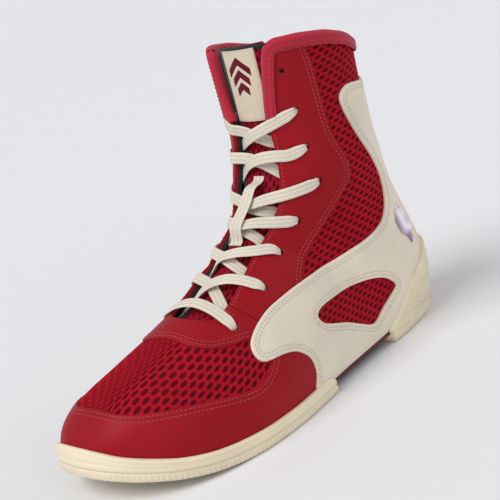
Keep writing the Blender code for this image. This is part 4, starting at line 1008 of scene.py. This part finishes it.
def make_tongue():
    """Mesh, tapes, lining and label in one piece across the fold, from the lower tongue to the top."""
    start, top = run_at(214, 66.7), run_at(SHAFT_FRONT_L, 202.2)
    sheet = Sheet(start, top, 26, 0.8)
    width = np.interp(sheet.along, [start, start + 14, top - 14, top - 4, top], [20, 24, 25.6, 25.0, 21.5])
    inset = width - np.abs(sheet.arc)
    whole = np.minimum(inset, top - sheet.along + 0.01)
    pit = net(sheet.along, sheet.arc, *TONGUE_NET)
    side_tape = np.minimum(whole, np.where(sheet.arc < 0, 9.5, 4.6) - inset)
    top_tape = np.minimum(whole, sheet.along - (top - 3.2))
    low, high = run_at(111.5, 157.5), run_at(SHAFT_FRONT_L, 200.6)
    label = Sheet(low, high, 20.0, 0.55)
    rim = np.minimum(16.2 - np.abs(label.arc + 1.2), np.minimum(label.along - low, high - label.along))
    pieces = [
        panel("tongue_mesh", sheet, whole, -9.4, -6.95, "tongue_mesh", 0.6, lift=-0.8 * pit, pit=pit,
              body=None, replaces=["tongue_lower", "tongue_top"]),
        panel("tongue_side_tape", sheet, side_tape, -7.2, -6.35, "black_lining", 0.5, body=None, replaces=()),
        panel("tongue_top_tape", sheet, top_tape, -7.2, -6.2, "black_lining", 0.5, body=None, replaces=()),
        panel("tongue_lining", sheet, whole, -10.8, -9.45, "black_lining", 0.5, body=None,
              replaces=["tongue_lining_lower", "tongue_lining_top"]),
        panel("tongue_label", label, rim + 0.02, -6.9, -5.95, "label", 0.3, body=None),
        stitches("tongue_label_stitches", contours(label, rim, (1.0,)), -5.97, "cream_thread", 1.9, 1.2, 0.4,
                 body=None),
    ]
    for piece in pieces:
        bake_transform(piece)
    # a plain mark of three stacked chevrons
    x, y = label.arc + 1.8, label.along - low - 26
    mark = np.full(x.shape, -1e9)
    for k, centre in enumerate((7.5, 0.0, -7.5)):
        arms = 1.9 - np.abs((y - centre) + 0.7 * np.abs(x) - 3.0) * 0.8
        mark = np.maximum(mark, np.minimum(arms, 10.6 - 2.4 * k - np.abs(x)))
    panel("tongue_label_mark", label, mark, -6.05, -5.78, "mark", 0.12, body="tongue_top",
          replaces=())


# ---- lace ----
CROSSING_SHIFT = [0, -6.5, 0, 0, 6.5, 0]
# (sideways, toward the toe, height) of the end behind the facing
TUCKED_END = ((2.0, 1.5, -5.5), (5.0, 5, -6.4), (10.0, 10, -7.2), (16.0, 16, -8.0), (22.0, 21, -9.0))
THROUGH_HOLE = (-0.9, -3.6)


def lace_row(run, arc, offset, pinch=0.0):
    """Point, outward direction, width and thickness of the lace; pinch is 1 inside a hole."""
    p, n = spot(run, arc if arc else 1e-6, offset)
    size = [LACE_WIDTH + (PINCHED_WIDTH - LACE_WIDTH) * pinch, LACE_THICK + 0.5 * pinch]
    return np.concatenate([p[0], n[0], size])


def fill_in(stops, longest=4.5):
    made = [stops[0]]
    for (a, p), (b, q) in zip(stops, stops[1:]):
        count = max(1, math.ceil(abs(b - a) / longest))
        made += [(a + (b - a) * k / count, p + (q - p) * k / count) for k in range(1, count + 1)]
    return made


def crossing(start, end, shift):
    """From under one lace row across the tongue to a hole of the other; the inner side's half goes over."""
    side = 1 if start[1] > 0 else -1
    edge_a = float(throat_half(start[0] + 0.25 * (end[0] - start[0]), start[1]))
    edge_b = float(throat_half(start[0] + 0.75 * (end[0] - start[0]), end[1]))
    rise = (-4.6, -3.1, -1.8, -0.3, 0.8) if start[1] < 0 else (-5.25, -5.4, -4.9, -4.5, -2.6)
    reach_a, reach_b = abs(start[1]), abs(end[1])
    height = [(reach_a - 2.2, -5.4), (reach_a - 4.5, LACE_IN), (edge_a + 4, LACE_IN),
              (edge_a - 3.0, LACE_IN + 0.4), (0.6 * edge_a, rise[0]), (0.35 * edge_a, rise[1]), (0.0, rise[2]),
              (-0.35 * edge_b, rise[3]), (-0.6 * edge_b, rise[4]), (-edge_b + 2.2, LACE_OUT),
              (-edge_b - 1.5, LACE_OUT + 0.15), (-reach_b + 8, LACE_OUT), (-reach_b + 3.4, LACE_OUT),
              (-reach_b + 1.4, 0.6)]
    rows = []
    for at, offset in fill_in(height):
        arc = side * at
        t = (start[1] - arc) / (start[1] - end[1])
        run = start[0] + t * (end[0] - start[0]) + shift * (1 - min(1, abs(arc) / 26) ** 2)
        near = max(0.0, 1 - min(abs(start[1] - arc), abs(arc - end[1])) / 5.0)
        rows.append(lace_row(run, arc, offset, near))
    return rows


def lace_half(side):
    """From the middle of the bottom bar up through the holes to a tucked end."""
    holes = HOLE_SPOTS[:0:-1]
    here, reach = (holes[0][0], side * holes[0][1]), holes[0][1]
    stops = [(0.0, 0.9), (8.0, 1.1), (16.0, LACE_OUT), (reach - 8, LACE_OUT), (reach - 3.4, LACE_OUT),
             (reach - 1.4, 0.6)]
    rows = [lace_row(here[0], side * arc, offset, max(0.0, 1 - abs(reach - abs(arc)) / 5.0))
            for arc, offset in fill_in(stops)]
    for (run, arc), shift in zip(holes[1:], CROSSING_SHIFT):
        rows += [lace_row(*here, offset, 1.0) for offset in THROUGH_HOLE]
        goal = (run, -np.sign(here[1]) * arc)
        rows += crossing(here, goal, shift)
        here = goal
    rows += [lace_row(*here, offset, 1.0) for offset in THROUGH_HOLE]
    for aside, drop, offset in TUCKED_END:
        arc = here[1] + np.sign(here[1]) * aside
        rows.append(lace_row(here[0] - drop, arc, offset, 1.0 if aside < 4 else 0.0))
    return rows


def make_lace():
    one, two = lace_half(1), lace_half(-1)
    route = evened(through(one[::-1] + two[1:], 4), 2)
    apart = np.linalg.norm(np.diff(route[:, :3], axis=0), axis=1) > 0.12
    route = route[np.concatenate([[True], apart])]
    ribbon("lace", route[:, :3], route[:, 3:6], route[:, 6], route[:, 7], "lace")
    for name, half in (("aglet_lateral", one), ("aglet_medial", two)):
        end, out = half[-1][:3], half[-1][3:6]
        line = end + np.outer([-1.5, 0, 3, 8, 10.6, 11], unit(end - half[-2][:3]))
        ribbon(name, line, np.tile(out, (6, 1)), [3.2, 2.9, 2.5, 2.3, 1.9, 0.8], [1.7, 1.9, 2.1, 2.1, 1.7, 0.7],
               "aglet", 1, 0.02, 14)


def make_keeper():
    stops = [((118.0, 127.2), -6.35), ((118.9, 125.2), -6.2), ((119.8, 123.4), -4.2), ((120.8, 121.8), -1.2),
             ((122.4, 119.3), 0.75), ((127.4, 113.4), 1.15), ((132, 109.3), 1.1), ((137.2, 105.5), 0.95),
             ((141.4, 102.8), -0.2), ((143.4, 101.6), -2.6), ((145.0, 100.7), -5.0), ((146.6, 99.8), -6.3),
             ((148.6, 98.5), -6.35)]
    spots = [spot(run_at(*place), 1e-6, offset) for place, offset in stops]
    route = through([np.concatenate([p[0], n[0]]) for p, n in spots], 5)
    ribbon("lace_keeper", route[:, :3], route[:, 3:], np.linspace(8.6, 10.4, len(route)), [1.0] * len(route),
           "lace", 3, 0.08)


# ---- sole ----
FOREFOOT_SPAN, HEEL_SPAN = (141.0, 400.0), (-10.0, 74.0)
# a pod's side wall: (outward, share of the way up)
POD_SIDE = [(2.6, 0.00), (3.7, 0.05), (4.35, 0.16), (4.45, 0.34), (4.45, 0.50), (4.35, 0.56), (3.7, 0.60),
            (3.7, 0.64), (4.35, 0.68), (4.5, 0.78), (4.4, 0.92), (4.0, 1.02), (2.2, 1.1), (-3.0, 1.1),
            (-4.0, 0.75)]
PLATE_SIDE = ((-3.0, 0.0), (0.4, 0.0), (0.9, 0.25), (0.9, 0.75), (0.5, 1.0), (-3.0, 1.0))
TREAD = [(-5, 2.5), (4, 1.2), (14, 0), (200, 0), (215, 0.2), (230, 1.3), (250, 4.6), (270, 10.2), (280, 14),
         (292, 19.5)]


def footprint(count):
    """Closed ring round the lower edge of the upper, from the toe down the outer side to the heel and back:
    points, outward directions and distance along it."""
    outer, inner = G1.p[1:CORNER_ROW, -1, :2], G1.p[1:CORNER_ROW, 0, :2]
    toe = G1.p[:1, 0, :2]
    ring = np.concatenate([toe, outer, [[0.0, FEATHER[0][0]]], inner[::-1], toe])
    gone = length_along(ring)
    at = np.linspace(0, gone[-1], count + 1)[:-1]
    even = np.column_stack([np.interp(at, gone, ring[:, k]) for k in range(2)])
    for _ in range(3):
        even = 0.25 * np.roll(even, 1, 0) + 0.5 * even + 0.25 * np.roll(even, -1, 0)
    ahead = np.roll(even, -1, 0) - np.roll(even, 1, 0)
    return even, unit(np.column_stack([-ahead[:, 1], ahead[:, 0]])), at


def tread_line(left, right, tread_pitch, across=36):
    """One row of the underside from side to side, with chevron grooves and a groove along the edge."""
    t = np.linspace(0, 1, across + 1)[1:-1, None]
    line = right * (1 - t) + left * t
    wave = (line[:, 1] + 0.55 * np.abs(line[:, 0] - line[:, 0].mean())) / tread_pitch
    saw = np.abs(wave - np.round(wave)) * 2
    edge = np.minimum(t[:, 0], 1 - t[:, 0]) * np.linalg.norm(left - right)
    cut = 1.25 * np.clip((0.36 - saw) / 0.12, 0, 1) * np.clip((edge - 3.5) / 1.5, 0, 1)
    cut += 0.9 * np.exp(-((edge - 3.2) / 0.55) ** 2)
    return np.column_stack([line, smooth(TREAD, line[:, 1]) + cut])


def sole_pod(name, span, lug_pitch, tread_pitch, replaces):
    """Rubber pod: moulded side wall with a groove and lugs, and a tread. Closed sections from side to side."""
    ring, normal, gone = footprint(900)
    pick = (ring[:, 1] > span[0]) & (ring[:, 1] < span[1])
    order = np.arange(len(ring))
    if pick[0]:  # the forefoot's stretch runs over the ring's start
        order = np.roll(order, -int(np.argmin(pick)))
    order = order[pick[order]]
    ring, normal, gone = ring[order], normal[order], gone[order]
    base = smooth(TREAD, ring[:, 1])
    top = smooth(FEATHER, ring[:, 1]) + 1.0 + 4.0 * ease((26 - ring[:, 1]) / 24)
    ripple = np.clip((0.5 + 0.5 * np.cos(2 * np.pi * gone / lug_pitch)) * 2.2 - 0.6, 0, 1)
    wall = []
    for grow, share in POD_SIDE:
        lug = 0.55 * ripple * (1 - np.clip((share - 0.44) / 0.08, 0, 1)) * (1 if grow > 3 else 0)
        wall.append(np.column_stack([ring + normal * (grow - lug)[:, None], base + share * (top - base)]))
    wall = np.array(wall)
    half = len(ring) // 2
    loops = []
    for k in range(half):
        left, right = wall[:, k], wall[:, len(ring) - 1 - k]
        loops.append(np.concatenate([left, right[::-1], tread_line(left[0, :2], right[0, :2], tread_pitch)]))
    size, tall = len(loops[0]), len(POD_SIDE)
    tip = (half - 1) * size
    faces = tube(half, size) + [tuple(range(size - 1, -1, -1))]
    for j in range(tall - 1):
        faces.append((tip + j, tip + j + 1, tip + 2 * tall - 2 - j, tip + 2 * tall - 1 - j))
    faces.append((tip, *range(tip + 2 * tall - 1, tip + size)))
    add_mesh(name, np.concatenate(loops), faces, "cream_rubber", replaces=[replaces])


def cup_lift(cup, lug_long=5.4, lug_tall=4.6):
    """Relief of the heel cup: a rim, a groove below it, then rows of small raised lugs."""
    s, t = side_mm(G3)
    level = (cup - 5.6) / lug_tall
    along = (0.87 * s - 0.5 * t) / lug_long + 0.5 * (np.floor(level) % 2)
    cell = np.minimum((0.5 - np.abs(along - np.floor(along) - 0.5)) * lug_long,
                      (0.5 - np.abs(level - np.floor(level) - 0.5)) * lug_tall)
    lug = np.clip((cell - 0.35) / 0.85, 0, 1) * np.clip((cup - 5.4) / 0.5, 0, 1)
    rim = 0.55 * np.exp(-((cup - 1.3) / 1.1) ** 2) - 0.8 * np.exp(-((cup - 4.2) / 0.7) ** 2)
    return rim + 0.95 * lug - 0.35 * np.clip((cup - 4.5) / 1.0, 0, 1)


def make_plate():
    """Arch plate: a slab over the whole footprint, seen between the pods."""
    count = 500
    ring, normal, _ = footprint(count)
    stack = []
    for grow, share in PLATE_SIDE:
        place = ring + normal * grow
        stack.append(np.column_stack([place, smooth(FEATHER, place[:, 1]) - 3.3 + 3.0 * share]))
    faces = tube(len(stack), count)
    for base in (0, (len(stack) - 1) * count):
        for k in range(count // 2 - 1):
            faces.append((base + k, base + k + 1, base + count - 2 - k, base + count - 1 - k))
    add_mesh("midsole_plate", np.concatenate(stack), faces, "maroon_plate")


def make_sole():
    sole_pod("outsole_forefoot_pod", FOREFOOT_SPAN, 2.9, 7.2, "outsole_forefoot")
    sole_pod("outsole_heel_pod", HEEL_SPAN, 3.4, 6.2, "outsole_heel")
    lip = outline_distance(G2, TOE_CUP)
    panel("outsole_forefoot_lip", G2, np.minimum(lip, 40), 0.6, 3.3, "cream_rubber", 1.2,
          (1, VAMP_ROWS * 2 + 110), lift=0.45 * np.clip((lip - 2.2) / 1.5, 0, 1), replaces=())
    cup = resized(outline_distance(G2, HEEL_CUP), G3)
    for tag, cols in G3.sides:
        panel("outsole_heel_cup_" + tag, G3, np.minimum(cup, 40), 0.6, 3.1, "cream_rubber", 1.0,
              (VAMP_ROWS * 3 + 90, None), cols, lift=cup_lift(cup), replaces=())
    make_plate()


def paint_cad():
    """Paints the hidden parts that are shown as the CAD has them."""
    look = {"insole_board": "board", "sockliner": "foam", "heel_counter": "board", "toe_puff": "board",
            "collar_pad_lateral": "foam", "collar_pad_medial": "foam"}
    for name, paint in look.items():
        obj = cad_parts.get(name)
        if obj:
            for slot in obj.material_slots:
                slot.material = MAT[paint]


# ---- stage ----
EYE_MM = (524.58, -593.17, 286.41)  # from the heel's end on the floor, as (w, -l, h)
CAMERA_RIGHT, CAMERA_UP = (0.68706, 0.68040, -0.25496), (-0.02573, 0.37346, 0.92729)
SENSOR_MM, LENS_MM, LENS_SHIFT = 36.0, 87.3288, (0.0088, -0.0034)
FLOOR_HALF = 30.0
# name, direction to the light, angle in degrees, strength
LIGHTS = (("key", (-0.10, -0.62, 0.78), 34, 1.72), ("side", (0.85, -0.40, 0.45), 50, 0.34),
          ("rim", (0.35, 0.75, 0.55), 40, 0.40))


def put(name, data):
    obj = bpy.data.objects.new(name, data)
    bpy.context.scene.collection.objects.link(obj)
    return obj


def make_camera():
    right = unit(np.array(CAMERA_RIGHT))
    up = np.array(CAMERA_UP)
    up = unit(up - right * np.dot(up, right))
    cam = bpy.data.cameras.new("camera")
    cam.sensor_fit = "HORIZONTAL"
    cam.sensor_width, cam.lens = SENSOR_MM, LENS_MM
    cam.shift_x, cam.shift_y = LENS_SHIFT
    cam.clip_start, cam.clip_end = 0.02, 200
    place = Matrix.Identity(4)
    where = ((EYE_MM[0] - MID_W) / 1000, (MID_L + EYE_MM[1]) / 1000, EYE_MM[2] / 1000)
    for r, row in enumerate(zip(right, up, np.cross(right, up), where)):
        place[r][:] = row
    obj = put("camera", cam)
    obj.matrix_world = place
    bpy.context.scene.camera = obj


def make_stage():
    make_camera()
    h = FLOOR_HALF
    floor_mesh = bpy.data.meshes.new("floor")
    floor_mesh.from_pydata([(-h, -h, 0), (h, -h, 0), (h, h, 0), (-h, h, 0)], [], [(0, 1, 2, 3)])
    floor = put("floor", floor_mesh)
    paint = bpy.data.materials.new("pale_floor")
    paint.use_nodes = True
    shader = paint.node_tree.nodes["Principled BSDF"]
    shader.inputs["Base Color"].default_value = (0.80, 0.80, 0.815, 1)
    shader.inputs["Roughness"].default_value = 0.9
    floor_mesh.materials.append(paint)

    world = bpy.data.worlds.new("studio")
    bpy.context.scene.world = world
    world.use_nodes = True
    sky = world.node_tree.nodes["Background"]
    sky.inputs["Color"].default_value = (0.86, 0.87, 0.90, 1)
    sky.inputs["Strength"].default_value = 0.52
    for name, toward, wide, strength in LIGHTS:
        light = bpy.data.lights.new(name, "SUN")
        light.angle = math.radians(wide)
        light.energy = strength
        lamp = put(name, light)
        lamp.location = [v * 2 for v in toward]
        lamp.rotation_mode = "QUATERNION"
        lamp.rotation_quaternion = Vector(toward).to_track_quat("Z", "Y")
    bpy.context.scene.view_settings.view_transform = "Standard"


make_stage()
make_overlays()
make_front()
make_lace_rows()
make_mesh_fabric()
make_lining()
make_sole()
make_binding()
make_tongue()
make_lace()
make_keeper()
paint_cad()
